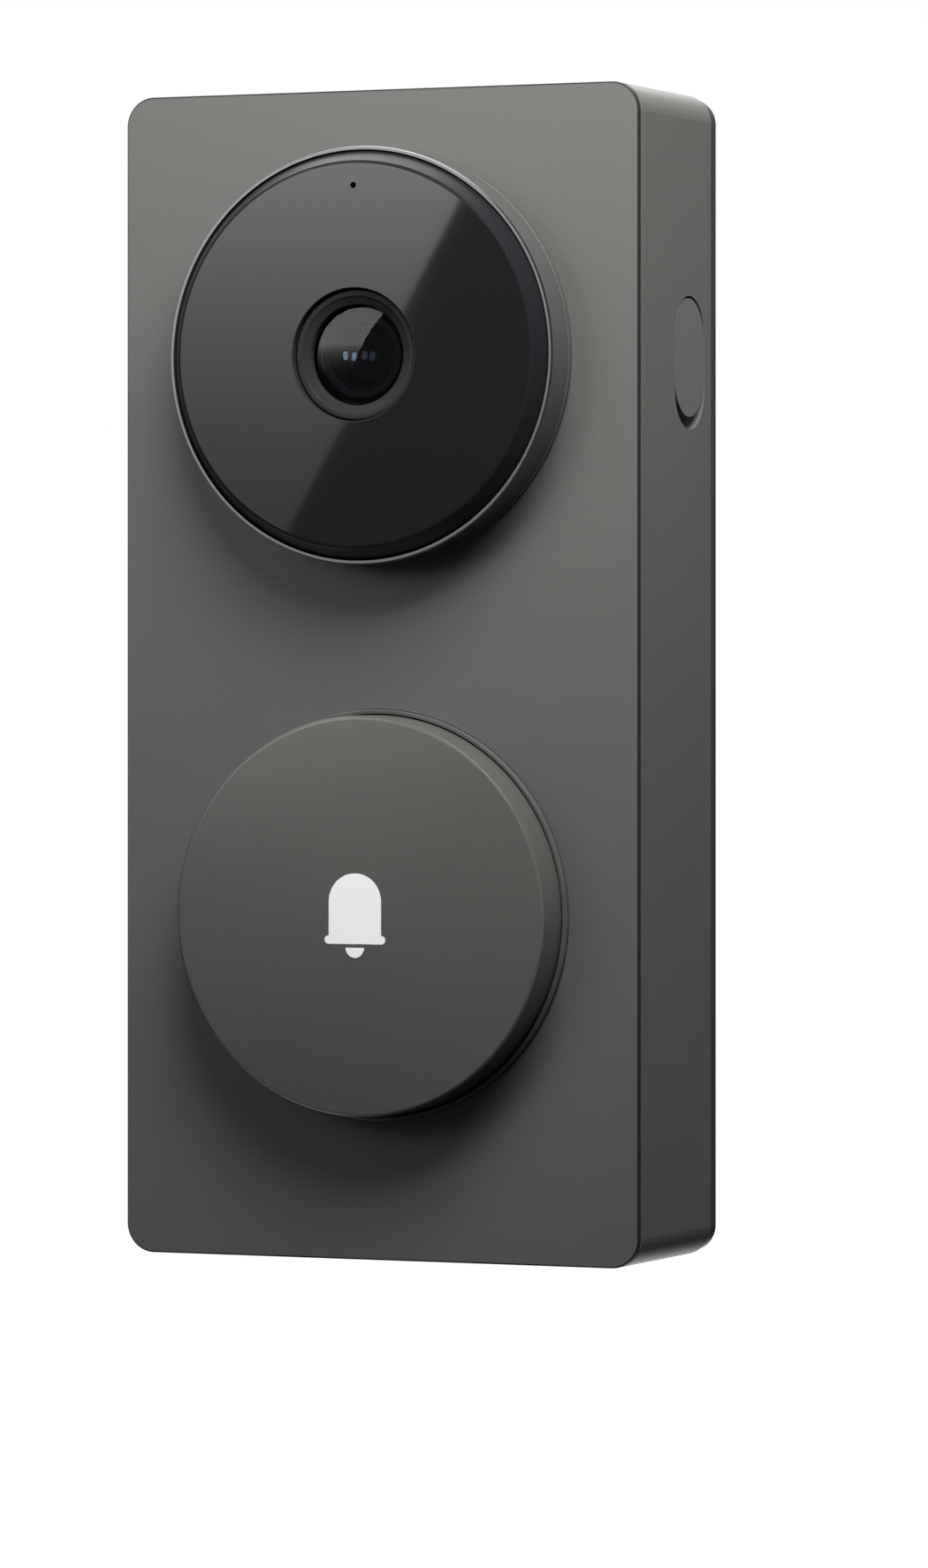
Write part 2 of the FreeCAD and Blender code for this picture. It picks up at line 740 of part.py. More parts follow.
# port: a pill recess outside, a thicker floor inside, and the holes for the socket and the reset
pad(housing, SIDE, PORT_INNER_X, f"body_width/2 - wall*0.5 - {PORT_INNER_X}", [
    rounded(f"-({FLOOR} + port_depth + port_wide/2 + 1.2)/2 - 0.2", PORT_Z,
            f"port_depth + port_wide/2 + 1.6 - {FLOOR}", "port_long + 3.2", "2"),
])
pocket(housing, SIDE, "body_width/2", "port_recess", [pill("-port_depth", PORT_Z, "port_wide", "port_long")])
pocket(housing, SIDE, PORT_FLOOR_X, "port_floor", [
    pill("-port_depth", USB_Z, "usb_wide + 2*usb_slack", "usb_long + 2*usb_slack"),
])
pocket(housing, SIDE, PORT_FLOOR_X, "port_floor",
       [circle("-port_depth", RESET_Z, "reset_radius + reset_fit")])
# rails that grip the ends of the port board
for side in (-1, 1):
    pad(housing, FRONT, f"{FLOOR} - weld", "port_board_wide - 0.5", [
        rectangle(f"{PORT_BOARD_FRONT} - port_board_thick/2", f"{PORT_Z} + {side}*(port_board_tall/2 + 0.75)",
                  "port_board_thick + 2", "1.5"),
    ])
# underside: speaker slots and the release pin's hole
SPEAKER_DEPTH = "(speaker_rear + speaker_thick/2)"
for step in range(-3, 4):
    pocket(housing, UNDER, f"-{INSIDE_Z}", "wall", [
        rounded(f"{step}*slot_pitch", f"-{SPEAKER_DEPTH}", "slot_width", "slot_length", "slot_round"),
    ])
pocket(housing, UNDER, f"-{INSIDE_Z}", "wall", [
    circle("0", f"-({CATCH_REAR} + latch_thick/2)", "pin_hole_radius"),
])

# ---------------------------------------------------------------- front_frame
# Black inner frame: its plug fills the housing's mouth, and its thin flange shows as a dark line
# between the housing and the front plate.
CAMERA_HOLE = "(bezel_radius - bezel_overlap + 0.1)"
BUTTON_HOLE = "(button_radius + button_gap + ring_wall + ring_fit)"
PLUG_WIDE = "(body_width - 2*wall - 2*frame_gap)"
PLUG_TALL = "(body_height - 2*wall - 2*frame_gap)"
PLUG_ROUND = "(corner_radius - wall - frame_gap)"
BOARD_CORNER = "(button_board_side/2 - board_corner_inset)"
BUTTON_SCREW_PLACES = [(f"{sx}*{BOARD_CORNER}", f"{BUTTON_Z} + {sz}*{BOARD_CORNER}") for sx, sz in CORNERS]
BUTTON_BOARD_FRONT = f"({FRAME_REAR} - button_board_gap)"
BUTTON_BOARD_REAR = f"({BUTTON_BOARD_FRONT} - button_board_thick)"
CUP_RADIUS = "(bezel_radius - bezel_overlap - bezel_wall - cup_gap)"
CUP_SCREW_CIRCLE = f"({CUP_RADIUS} + cup_flange*0.7)"
CUP_SCREW_PLACES = around(3, CUP_SCREW_CIRCLE, 90, z=CAMERA_Z)
CUP_SCREW_TIP = f"({FRAME_REAR} + cup_screw_grip)"

frame = new_body("front_frame")
pad(frame, FRONT, FRAME_REAR, "frame_thick", [
    rounded("0", "0", PLUG_WIDE, PLUG_TALL, PLUG_ROUND),
    circle("0", CAMERA_Z, CAMERA_HOLE),
    circle("0", BUTTON_Z, BUTTON_HOLE),
])
pad(frame, FRONT, RIM, "shadow_gap", [
    rounded("0", "0", "body_width - 2*shadow_inset", "body_height - 2*shadow_inset",
            "corner_radius - shadow_inset"),
    circle("0", CAMERA_Z, CAMERA_HOLE),
    circle("0", BUTTON_Z, BUTTON_HOLE),
])
SEAL_REAR = f"({FRAME_REAR} + seal_rise)"
SEAL_ROUND = f"({PLUG_ROUND}/2)"
pocket(frame, FRONT, f"{SEAL_REAR} + seal_thick", "seal_thick", [
    rounded("0", "0", "body_width", "body_height", "corner_radius"),
    rounded("0", "0", f"{PLUG_WIDE} - 2*seal_depth", f"{PLUG_TALL} - 2*seal_depth",
            SEAL_ROUND),
])
for x, z in CASE_SCREW_PLACES:
    pad(frame, FRONT, f"{BOSS_FRONT} + 0.05", f"{FRAME_REAR} - {BOSS_FRONT} + 0.15",
        [circle(x, z, "post_radius")])
    pocket(frame, FRONT, f"{BOSS_FRONT} + case_screw_grip + 0.5", "case_screw_grip + 0.5",
           [circle(x, z, "case_screw_radius")])
for x, z in BUTTON_SCREW_PLACES:
    pad(frame, FRONT, BUTTON_BOARD_FRONT, "button_board_gap + weld", [circle(x, z, "post_radius")])
    pocket(frame, FRONT, f"{BUTTON_BOARD_FRONT} + button_board_gap", "button_board_gap",
           [circle(x, z, "button_screw_radius")])
for x, z in CUP_SCREW_PLACES:
    pocket(frame, FRONT, CUP_SCREW_TIP, "cup_screw_grip", [circle(x, z, "cup_screw_radius")])

# ---------------------------------------------------------------- front_plate
# Thin bead-blasted aluminium skin bonded to the front frame.
fascia = new_body("front_plate")
pad(fascia, FRONT, FASCIA_REAR, "fascia_thick", [
    rounded("0", "0", "body_width", "body_height", "corner_radius"),
    circle("0", CAMERA_Z, CAMERA_HOLE),
    circle("0", BUTTON_Z, BUTTON_HOLE),
])
soften(fascia, "Chamfer", "fascia_thick*0.4",
       lies_at(value("body_depth"), (value("body_width/2 - corner_radius"),
                                     value("body_height/2 - corner_radius"))))

# ---------------------------------------------------------------- housing_seal
seal = new_body("housing_seal")
pad(seal, FRONT, SEAL_REAR, "seal_thick", [
    rounded("0", "0", "body_width - 2*wall - 0.1", "body_height - 2*wall - 0.1",
            "corner_radius - wall - 0.05"),
    rounded("0", "0", f"{PLUG_WIDE} - 2*seal_depth", f"{PLUG_TALL} - 2*seal_depth",
            SEAL_ROUND),
])

# ---------------------------------------------------------------- case_screws
screws("case_screws", CASE_SCREW_PLACES, f"{HOUSING_REAR} + 0.2", "case_head_thick", "case_head_radius",
       f"{BOSS_FRONT} + case_screw_grip", "case_screw_radius", "cross")

# ---------------------------------------------------------------- camera
# Everything here is turned about the camera's axis. The bezel ring stands on the front plate.
BEZEL_FRONT = "(body_depth + bezel_proud)"
SHELF = f"({BEZEL_FRONT} - cover_shelf)"
BEZEL_INNER = "(bezel_radius - bezel_rim)"
TUBE_RADIUS = "(bezel_radius - bezel_overlap)"
BEZEL_TAIL = "(body_depth - bezel_tail)"
turned("camera_bezel", CAMERA_Z, [
    ("bezel_radius", "body_depth"),
    ("bezel_radius", f"{BEZEL_FRONT} - bezel_chamfer"),
    ("bezel_radius - bezel_chamfer", BEZEL_FRONT),
    (BEZEL_INNER, BEZEL_FRONT),
    (BEZEL_INNER, SHELF),
    (f"{TUBE_RADIUS} - bezel_wall", SHELF),
    (f"{TUBE_RADIUS} - bezel_wall", BEZEL_TAIL),
    (TUBE_RADIUS, BEZEL_TAIL),
    (TUBE_RADIUS, "body_depth"),
])

# The cover is smoked plastic: a steep bevel rises from the bezel to a flat face.
COVER_RADIUS = f"({BEZEL_INNER} - cover_gap)"
COVER_REAR = f"({SHELF} + cover_seal_thick)"
COVER_SIDE = f"({BEZEL_FRONT} - 0.3)"
CREST_RADIUS = f"({COVER_RADIUS} - cover_bevel)"
CREST = f"({COVER_SIDE} + cover_crest)"
EYE_FACE = f"({CREST} - eye_sink)"
COVER_BACK = f"({EYE_FACE} - cover_wall)"
MIC_RADIUS = f"({CUP_RADIUS} - cup_wall - mic_edge)"
cover = turned("camera_cover", CAMERA_Z, [
    (COVER_RADIUS, COVER_REAR),
    (COVER_RADIUS, COVER_SIDE),
    (CREST_RADIUS, CREST),
    ("eye_radius", CREST),
    ("eye_radius", COVER_BACK),
    (f"{COVER_RADIUS} - cover_rim - 0.8", f"{COVER_BACK} + 0.6"),
    (f"{COVER_RADIUS} - cover_rim", COVER_REAR),
])
pocket(cover, FRONT, f"{CREST}", "cover_wall*2", [circle("0", MIC_RADIUS, "mic_hole_radius")])

turned("cover_seal", CAMERA_Z, [
    (f"{COVER_RADIUS} - 0.05", SHELF),
    (f"{COVER_RADIUS} - 0.05", COVER_REAR),
    (f"{COVER_RADIUS} - 0.8", COVER_REAR),
    (f"{COVER_RADIUS} - 0.8", SHELF),
])

# The cup is the black chassis inside the bezel, screwed to the frame's rear by its flange.
CUP_INNER = f"({CUP_RADIUS} - cup_wall)"
CUP_FLOOR = "(body_depth - 2.3)"
FLANGE_REAR = f"({FRAME_REAR} - 0.1 - cup_flange_thick)"
HOLDER_HOLE = "(holder_side*0.7072 + 0.4)"
cup = turned("camera_cup", CAMERA_Z, [
    (f"{CUP_RADIUS} + cup_flange", FLANGE_REAR),
    (f"{CUP_RADIUS} + cup_flange", f"{FLANGE_REAR} + cup_flange_thick"),
    (CUP_RADIUS, f"{FLANGE_REAR} + cup_flange_thick"),
    (CUP_RADIUS, f"{SHELF} - 0.1"),
    (CUP_INNER, f"{SHELF} - 0.1"),
    (CUP_INNER, CUP_FLOOR),
    (HOLDER_HOLE, CUP_FLOOR),
    (HOLDER_HOLE, f"{CUP_FLOOR} - cup_floor"),
    (CUP_INNER, f"{CUP_FLOOR} - cup_floor"),
    (CUP_INNER, FLANGE_REAR),
])
for x, z in around(3, CUP_SCREW_CIRCLE, 90):
    pocket(cup, FRONT, f"{FLANGE_REAR} + cup_flange_thick", "cup_flange_thick",
           [circle(x, z, "cup_screw_radius + screw_gap")])
screws("camera_screws", CUP_SCREW_PLACES, f"{FLANGE_REAR} - cup_head_thick", "cup_head_thick",
       "cup_screw_radius*1.6", CUP_SCREW_TIP, "cup_screw_radius", "cross")

# Lens: a black ring in the cover's eye, a domed front glass, and the barrel behind it.
RING_OUTER = "(eye_radius - lens_ring_gap)"
LENS_SEAT_DEPTH = f"({EYE_FACE} - lens_depth)"
turned("lens_ring", CAMERA_Z, [
    (RING_OUTER, f"{EYE_FACE} - ring_depth"),
    (RING_OUTER, f"{EYE_FACE} + 0.1"),
    (f"{RING_OUTER} - 0.6", f"{EYE_FACE} + 0.4"),
    ("lens_seat + 0.1", f"{EYE_FACE} - 0.7"),
    ("lens_seat + 0.1", LENS_SEAT_DEPTH),
    ("barrel_radius + 0.1", LENS_SEAT_DEPTH),
    ("barrel_radius + 0.1", f"{EYE_FACE} - ring_depth"),
])
keep("front_lens", turned_solid("front_lens", CAMERA_Z, [
    ("lens_seat", LENS_SEAT_DEPTH),
    ("lens_seat", f"{LENS_SEAT_DEPTH} + lens_edge", "dome"),
    ("0", f"{LENS_SEAT_DEPTH} + lens_edge + lens_crown"),
    ("0", f"{LENS_SEAT_DEPTH} + lens_hollow", "dome"),
    ("barrel_radius", LENS_SEAT_DEPTH),
]))
BARREL_FRONT = f"({LENS_SEAT_DEPTH} - 0.1)"
BARREL_REAR = f"({BARREL_FRONT} - barrel_length)"
turned("lens_barrel", CAMERA_Z, [
    ("barrel_radius", BARREL_REAR),
    ("barrel_radius", BARREL_FRONT),
    ("barrel_bore + 0.6", BARREL_FRONT),
    ("barrel_bore", f"{BARREL_FRONT} - 0.8"),
    ("barrel_bore", BARREL_REAR),
])


def inner_lens(label, front, edge, crown):
    """One glass element inside the barrel, domed on both sides."""
    return turned_solid(label, CAMERA_Z, [
        ("barrel_bore - 0.02", f"({front}) - ({edge})"),
        ("barrel_bore - 0.02", front, "dome"),
        ("0", f"({front}) + ({crown})"),
        ("0", f"({front}) - ({edge}) - ({crown})", "dome"),
    ])


group("inner_lenses", [
    inner_lens("front_element", f"{BARREL_FRONT} - front_element_depth", "element_edge", "0.5"),
    inner_lens("rear_element", f"{BARREL_FRONT} - rear_element_depth", "element_edge", "0.4"),
])

# Sensor board with the image sensor, and the lens holder that stands over it.
SENSOR_FRONT = f"({FRAME_REAR} - sensor_board_gap + 0.9)"
SENSOR_REAR = f"({SENSOR_FRONT} - sensor_board_thick)"
keep("sensor_board", rod("sensor_board", "0", CAMERA_Z, SENSOR_REAR, "sensor_board_thick",
                         f"{CUP_INNER} - 0.4"))
keep("image_sensor", block("image_sensor", "0", CAMERA_Z, SENSOR_FRONT, "sensor_wide", "sensor_tall",
                           "sensor_thick"))
FILTER_REAR = f"({SENSOR_FRONT} + sensor_thick + filter_gap)"
keep("ir_filter", block("ir_filter", "0", CAMERA_Z, FILTER_REAR, "filter_side", "filter_side",
                        "filter_thick"))
holder = new_body("lens_mount")
HOLDER_FRONT = f"({BARREL_REAR} + holder_seat)"
pad(holder, FRONT, SENSOR_FRONT, f"{HOLDER_FRONT} - {SENSOR_FRONT}", [
    rounded("0", CAMERA_Z, "holder_side", "holder_side", "0.8"),
])
pocket(holder, FRONT, HOLDER_FRONT, f"{HOLDER_FRONT} - {BARREL_REAR}",
       [circle("0", CAMERA_Z, "barrel_radius + 0.02")])
pocket(holder, FRONT, BARREL_REAR, f"{BARREL_REAR} - {FILTER_REAR} - filter_thick",
       [circle("0", CAMERA_Z, "holder_bore")])
pocket(holder, FRONT, f"{FILTER_REAR} + filter_thick", f"{FILTER_REAR} + filter_thick - {SENSOR_FRONT}", [
    rectangle("0", CAMERA_Z, "sensor_wide + 1", "sensor_wide + 0.6"),
])

# Night-vision board: a ring of infrared emitters round the lens, the light sensor and the microphone.
LED_BOARD_FRONT = f"({CUP_FLOOR} + led_board_thick)"
LED_BOARD_OUTER = f"({CUP_INNER} - 0.2)"
turned("ir_led_board", CAMERA_Z, [
    ("led_board_inner", CUP_FLOOR),
    ("led_board_inner", LED_BOARD_FRONT),
    (LED_BOARD_OUTER, LED_BOARD_FRONT),
    (LED_BOARD_OUTER, CUP_FLOOR),
])
LED_CIRCLE = f"(led_board_inner/2 + {LED_BOARD_OUTER}/2)"
leds = []
for i, (x, z) in enumerate(around(6, LED_CIRCLE, 0, z=CAMERA_Z)):
    base = block(f"ir_led_base_{i}", x, z, LED_BOARD_FRONT, "led_side", "led_side", "led_tall*0.6")
    lens = rod(f"ir_led_lens_{i}", x, z, f"{LED_BOARD_FRONT} + led_tall*0.6", "led_tall*0.4", "led_side*0.4")
    leds.append(fuse(f"ir_led_{i}", [base, lens]))
group("ir_leds", leds)
keep("light_sensor", block("light_sensor", "0", f"{CAMERA_Z} - {LED_CIRCLE}", LED_BOARD_FRONT,
                           "light_sensor_side",
                           "light_sensor_side", "light_sensor_tall"))
MIC_Z = f"({CAMERA_Z} + {MIC_RADIUS})"
keep("microphone", block("microphone", "0", MIC_Z, LED_BOARD_FRONT, "mic_wide", "mic_wide*0.75", "mic_tall"))
MIC_FRONT = f"({LED_BOARD_FRONT} + mic_tall)"
gasket_body = rod("mic_gasket_tube", "0", MIC_Z, MIC_FRONT, f"{COVER_BACK} + 0.4 - {MIC_FRONT}",
                  "gasket_radius*0.8")
gasket_hole = rod("mic_gasket_hole", "0", MIC_Z, MIC_FRONT, f"{COVER_BACK} + 0.4 - {MIC_FRONT}",
                  "mic_hole_radius + 0.1")
keep("mic_gasket", cut("mic_gasket", gasket_body, [gasket_hole]))

# Flat ribbon from the sensor board to the main board, folded once in a half circle.
RIBBON_TOP = f"({SENSOR_REAR} - 0.6)"
RIBBON_LOW = f"({BOARD_FRONT} + 0.6)"
RIBBON_END_Z = f"({CAMERA_Z} - 8)"
RIBBON_BEND_Z = f"({RIBBON_END_Z} - ribbon_run)"
bend_radius = f"({RIBBON_TOP} - {RIBBON_LOW})/2"
bend_outer = side_rod("ribbon_bend_outer", "-ribbon_width/2", f"({RIBBON_TOP} + {RIBBON_LOW})/2",
                      RIBBON_BEND_Z,
                      "ribbon_width", bend_radius)
bend_inner = side_rod("ribbon_bend_inner", "-ribbon_width/2", f"({RIBBON_TOP} + {RIBBON_LOW})/2",
                      RIBBON_BEND_Z,
                      "ribbon_width", f"{bend_radius} - ribbon_thick")
bend_side = block("ribbon_bend_side", "0", f"{RIBBON_BEND_Z} + 5", RIBBON_LOW, "ribbon_width + 1", "10",
                  f"{RIBBON_TOP} - {RIBBON_LOW}")
bend = cut("ribbon_bend", bend_outer, [bend_inner, bend_side])
runs = [block(f"ribbon_run_{i}", "0", f"{RIBBON_BEND_Z} + ribbon_run/2", rear, "ribbon_width", "ribbon_run",
              "ribbon_thick") for i, rear in enumerate((f"{RIBBON_TOP} - ribbon_thick", RIBBON_LOW))]
keep("camera_ribbon", fuse("camera_ribbon", [bend] + runs))
group("ribbon_connectors", [
    block("ribbon_connector_sensor", "0", f"{RIBBON_END_Z} + connector_tall/2", f"{RIBBON_TOP} - 0.5",
          "ribbon_width + 2", "connector_tall", f"{SENSOR_REAR} - {RIBBON_TOP} + 0.5"),
    block("ribbon_connector_main", "0", f"{RIBBON_END_Z} + connector_tall/2", BOARD_FRONT,
          "ribbon_width + 2", "connector_tall", f"{RIBBON_LOW} - {BOARD_FRONT} + 0.6"),
])

# ---------------------------------------------------------------- button
# The big push button: a painted cap on a guided carrier, over a sealing membrane and a tact switch.
RING_INNER = "(button_radius + button_gap)"
RING_OUT = f"({RING_INNER} + ring_wall)"
RING_FRONT = "(body_depth + ring_proud)"
turned("light_ring", BUTTON_Z, [
    (RING_INNER, f"{FRAME_REAR} - 0.05 - ring_flange_thick"),
    (f"{RING_OUT} + ring_flange", f"{FRAME_REAR} - 0.05 - ring_flange_thick"),
    (f"{RING_OUT} + ring_flange", f"{FRAME_REAR} - 0.05"),
    (RING_OUT, f"{FRAME_REAR} - 0.05"),
    (RING_OUT, f"{RING_FRONT} - 0.2"),
    (f"{RING_OUT} - 0.2", RING_FRONT),
    (RING_INNER, RING_FRONT),
])

BUTTON_FRONT = "(body_depth + button_proud)"
CROWN = f"({BUTTON_FRONT} + button_crown)"
SKIRT = f"({FRAME_REAR} + skirt_gap)"
blank = turned_solid("button_blank", BUTTON_Z, [
    ("button_radius", SKIRT),
    ("button_radius", f"{BUTTON_FRONT} - button_edge"),
    ("button_radius - button_edge", BUTTON_FRONT, "dome"),
    ("0", CROWN),
    ("0", f"{CROWN} - button_wall"),
    ("button_radius - button_wall", f"{BUTTON_FRONT} - button_wall"),
    ("button_radius - button_wall", SKIRT),
])

# The bell sign: a round-topped body on a brim, and a clapper below a small gap.
BELL_TOP = f"({BUTTON_Z} + bell_tall/2 + bell_gap/2 + clapper_tall/2)"
BELL_FOOT = f"({BELL_TOP} - bell_tall)"
BELL_REAR = f"({CROWN} - bell_deep)"
CLAPPER_TOP = f"({BELL_FOOT} - bell_gap)"
CLAPPER_RADIUS = "((clapper_half*clapper_half + clapper_tall*clapper_tall)/(2*clapper_tall))"


def bell_solids(name):
    """The sign's outline as a prism, from the recess floor to beyond the button's crown."""
    thick = "bell_deep + 1"
    arch_z = f"{BELL_TOP} - bell_half"
    arch = rod(f"{name}_arch", "0", arch_z, BELL_REAR, thick, "bell_half")
    waist_foot = f"{BELL_FOOT} + bell_brim/2"
    waist = block(f"{name}_waist", "0", f"({arch_z})/2 + ({waist_foot})/2", BELL_REAR, "2*bell_half",
                  f"{arch_z} - ({waist_foot})", thick)
    brim_z = f"{BELL_FOOT} + bell_brim/2"
    brim = block(f"{name}_brim", "0", brim_z, BELL_REAR, "2*bell_brim_half - bell_brim", "bell_brim", thick)
    tips = [rod(f"{name}_tip_{i}", f"{side}*(bell_brim_half - bell_brim/2)", brim_z, BELL_REAR, thick,
                "bell_brim/2")
            for i, side in enumerate((-1, 1))]
    drop = rod(f"{name}_drop", "0", f"{CLAPPER_TOP} - clapper_tall + {CLAPPER_RADIUS}", BELL_REAR, thick,
               CLAPPER_RADIUS)
    lower = block(f"{name}_lower", "0", f"{CLAPPER_TOP} - clapper_tall", BELL_REAR, "6*clapper_half",
                  "2*clapper_tall", thick)
    clapper = overlap_of(f"{name}_clapper", [drop, lower])
    return fuse(f"{name}_body", [arch, waist, brim] + tips), clapper


recess = bell_solids("bell_recess")
keep("button_cap", cut("button_cap", blank, list(recess)))
sign = bell_solids("bell_sign")
group("bell_icon", [overlap_of(f"bell_sign_{i}", [solid, blank]) for i, solid in enumerate(sign)])

MEMBRANE_FRONT = f"({FRAME_REAR} - 0.2)"
MEMBRANE_REAR = f"({MEMBRANE_FRONT} - membrane_thick)"
PRESSER_END = f"({MEMBRANE_FRONT} + touch_gap)"
PLUNGER_FRONT = f"({MEMBRANE_REAR} - touch_gap)"
CARRIER_REAR = f"({SKIRT} + button_travel + carrier_rise)"
CARRIER_FRONT = f"({CARRIER_REAR} + carrier_thick)"
CAP_INNER = "(button_radius - button_wall)"
PILLAR_FRONT = f"({CROWN} - button_wall - button_crown*pillar_radius/{CAP_INNER} - touch_gap)"
GUIDE_END = f"({BUTTON_BOARD_REAR} - guide_tail)"
GUIDE_PLACES = around(3, "guide_circle", 30, z=BUTTON_Z)
carrier = new_body("button_carrier")
pad(carrier, FRONT, CARRIER_REAR, "carrier_thick", [circle("0", BUTTON_Z, f"{CAP_INNER} - carrier_gap")])
pad(carrier, FRONT, PRESSER_END, f"{CARRIER_REAR} - {PRESSER_END} + weld",
    [circle("0", BUTTON_Z, "presser_radius")])
for x, z in GUIDE_PLACES:
    pad(carrier, FRONT, GUIDE_END, f"{CARRIER_REAR} - {GUIDE_END} + weld", [circle(x, z, "guide_radius")])
pad(carrier, FRONT, f"{CARRIER_FRONT} - weld", f"{PILLAR_FRONT} - {CARRIER_FRONT} + weld", [
    circle("0", BUTTON_Z, "pillar_radius"),
])

clips = []
for i, (x, z) in enumerate(GUIDE_PLACES):
    disc = rod(f"button_clip_disc_{i}", x, z, f"{GUIDE_END} + 0.2", "clip_thick", "clip_radius")
    bore = rod(f"button_clip_bore_{i}", x, z, f"{GUIDE_END} + 0.2", "clip_thick", "guide_radius")
    mouth = block(f"button_clip_mouth_{i}", x, f"({z}) - clip_radius", f"{GUIDE_END} + 0.2",
                  "guide_radius*1.3",
                  "clip_radius*2", "clip_thick")
    clips.append(cut(f"button_clip_{i}", disc, [bore, mouth]))
group("button_clips", clips)

membrane = new_body("button_membrane")
pad(membrane, FRONT, MEMBRANE_REAR, "membrane_thick",
    [circle("0", BUTTON_Z, f"{RING_INNER} - 0.05")]
    + [circle(x, z, "guide_radius + 0.15") for x, z in GUIDE_PLACES])

board = new_body("button_board")
pad(board, FRONT, BUTTON_BOARD_REAR, "button_board_thick",
    [rounded("0", BUTTON_Z, "button_board_side", "button_board_side", "2")]
    + [circle(x, z, "guide_radius + guide_fit") for x, z in GUIDE_PLACES]
    + [circle(x, z, "button_screw_radius + screw_gap") for x, z in BUTTON_SCREW_PLACES])
screws("button_screws", BUTTON_SCREW_PLACES, f"{BUTTON_BOARD_REAR} - button_head_thick", "button_head_thick",
       "button_head_radius", f"{BUTTON_BOARD_FRONT} + button_board_gap - 0.3", "button_screw_radius", "cross")
group("ring_leds", [
    block(f"ring_led_{i}", x, z, BUTTON_BOARD_FRONT, "ring_led_side", "ring_led_side", "ring_led_tall")
    for i, (x, z) in enumerate(around(12, f"{RING_OUT} + 0.3", 0, z=BUTTON_Z))
])

switch = new_body("tact_switch")
pad(switch, FRONT, BUTTON_BOARD_FRONT, "switch_tall",
    [rounded("0", BUTTON_Z, "switch_side", "switch_side", "0.4")])
pocket(switch, FRONT, f"{BUTTON_BOARD_FRONT} + switch_tall", "switch_tall - 0.04",
       [circle("0", BUTTON_Z, "plunger_radius + plunger_fit")])
keep("switch_plunger", rod("switch_plunger", "0", BUTTON_Z, f"{BUTTON_BOARD_FRONT} + 0.1 + button_travel",
                           f"{PLUNGER_FRONT} - {BUTTON_BOARD_FRONT} - 0.1 - button_travel", "plunger_radius"))

# ---------------------------------------------------------------- main board
BOARD_TALL = "(body_height - board_top_gap - board_foot_gap)"
BOARD_Z = "(board_foot_gap/2 - board_top_gap/2)"
main = new_body("main_board")
pad(main, FRONT, BOARD_REAR, "board_thick",
    [rounded("0", BOARD_Z, "board_width", BOARD_TALL, "1.5")]
    + [circle(x, z, "board_screw_radius + screw_gap") for x, z in STANDOFF_PLACES])
# these screws go in from the front, so they face the other way from the rest
heads = []
for i, (x, z) in enumerate(STANDOFF_PLACES):
    head = rod(f"board_screw_head_{i}", x, z, BOARD_FRONT, "board_head_thick", "board_head_radius")
    shank = rod(f"board_screw_shank_{i}", x, z, f"{BOARD_REAR} - board_screw_grip",
                "board_screw_grip + board_thick",
                "board_screw_radius")
    slot = block(f"board_screw_slot_{i}", x, z, f"{BOARD_FRONT} + board_head_thick*0.5",
                 "board_head_radius*1.2",
                 "board_head_radius*0.3", "board_head_thick*0.5")
    heads.append(cut(f"board_screw_{i}", fuse(f"board_screw_solid_{i}", [head, shank]), [slot]))
group("board_screws", heads)

# Each row: name, middle across, drop below the camera's axis, width, height, thickness.
CANS = (
    ("radio", "-11", "-6", "24", "16", "can_tall"),
    ("processor", "-12", "32", "20", "13", "can_tall"),
)
CHIPS = (
    ("memory", "12", "32", "10", "8", "1"),
    ("power", "14", "5", "6", "6", "0.9"),
    ("coil", "14", "-6", "5", "5", "2"),
    ("audio", "-14", "12", "7", "7", "0.9"),
)
for label, rows in (("shield_cans", CANS), ("main_chips", CHIPS)):
    group(label, [block(f"{label}_{name}", x, f"{CAMERA_Z} - ({drop})", BOARD_FRONT, wide, tall, thick)
                  for name, x, drop, wide, tall, thick in rows])

# ---------------------------------------------------------------- battery
BATTERY_REAR = f"({FLOOR} + pad_thick)"
battery = new_body("battery_pack")
pad(battery, FRONT, BATTERY_REAR, "battery_thick", [
    rounded("battery_side", "battery_rise", "battery_wide", "battery_tall", "battery_round*1.5"),
])
soften(battery, "Fillet", "battery_round", lambda edge: lies_at(value(BATTERY_REAR))(edge)
       or lies_at(value(f"{BATTERY_REAR} + battery_thick"))(edge))
keep("battery_pad", block("battery_pad", "battery_side", "battery_rise", FLOOR, "battery_wide - 12",
                          "battery_tall - 12", "pad_thick"))

# The lead leaves the pack's lower end, bends once and plugs in behind the main board.
LEAD_X = "battery_side"
LEAD_START_Z = "(battery_rise - battery_tall/2)"
LEAD_DEPTH = f"({BATTERY_REAR} + battery_thick/2)"
PLUG_REAR = f"({BOARD_REAR} - plug_thick)"
keep("battery_plug", block("battery_plug", LEAD_X, f"{LEAD_START_Z} - lead_run - lead_bend", PLUG_REAR,
                           "plug_side",
                           "plug_side*0.8", "plug_thick"))
lead_radius = value("lead_radius")
start = Vector(value(LEAD_X), -value(LEAD_DEPTH), value(LEAD_START_Z))
turn = value("lead_bend")
corner = start - Vector(0, 0, value("lead_run"))
middle = corner + Vector(0, -turn * (1 - math.cos(math.pi / 4)), -turn * math.sin(math.pi / 4))
after = corner + Vector(0, -turn, -turn)
end = Vector(after.x, -value(PLUG_REAR), after.z)
path = Part.Wire([Part.LineSegment(start, corner).toShape(), Part.Arc(corner, middle, after).toShape(),
                  Part.LineSegment(after, end).toShape()])
section = Part.Wire([Part.Circle(start, Vector(0, 0, 1), lead_radius).toShape()])
lead = doc.addObject("Part::Feature", "battery_lead")
lead.Shape = path.makePipeShell([section], True, False)
lead.Placement = Placement()
keep("battery_lead", lead)
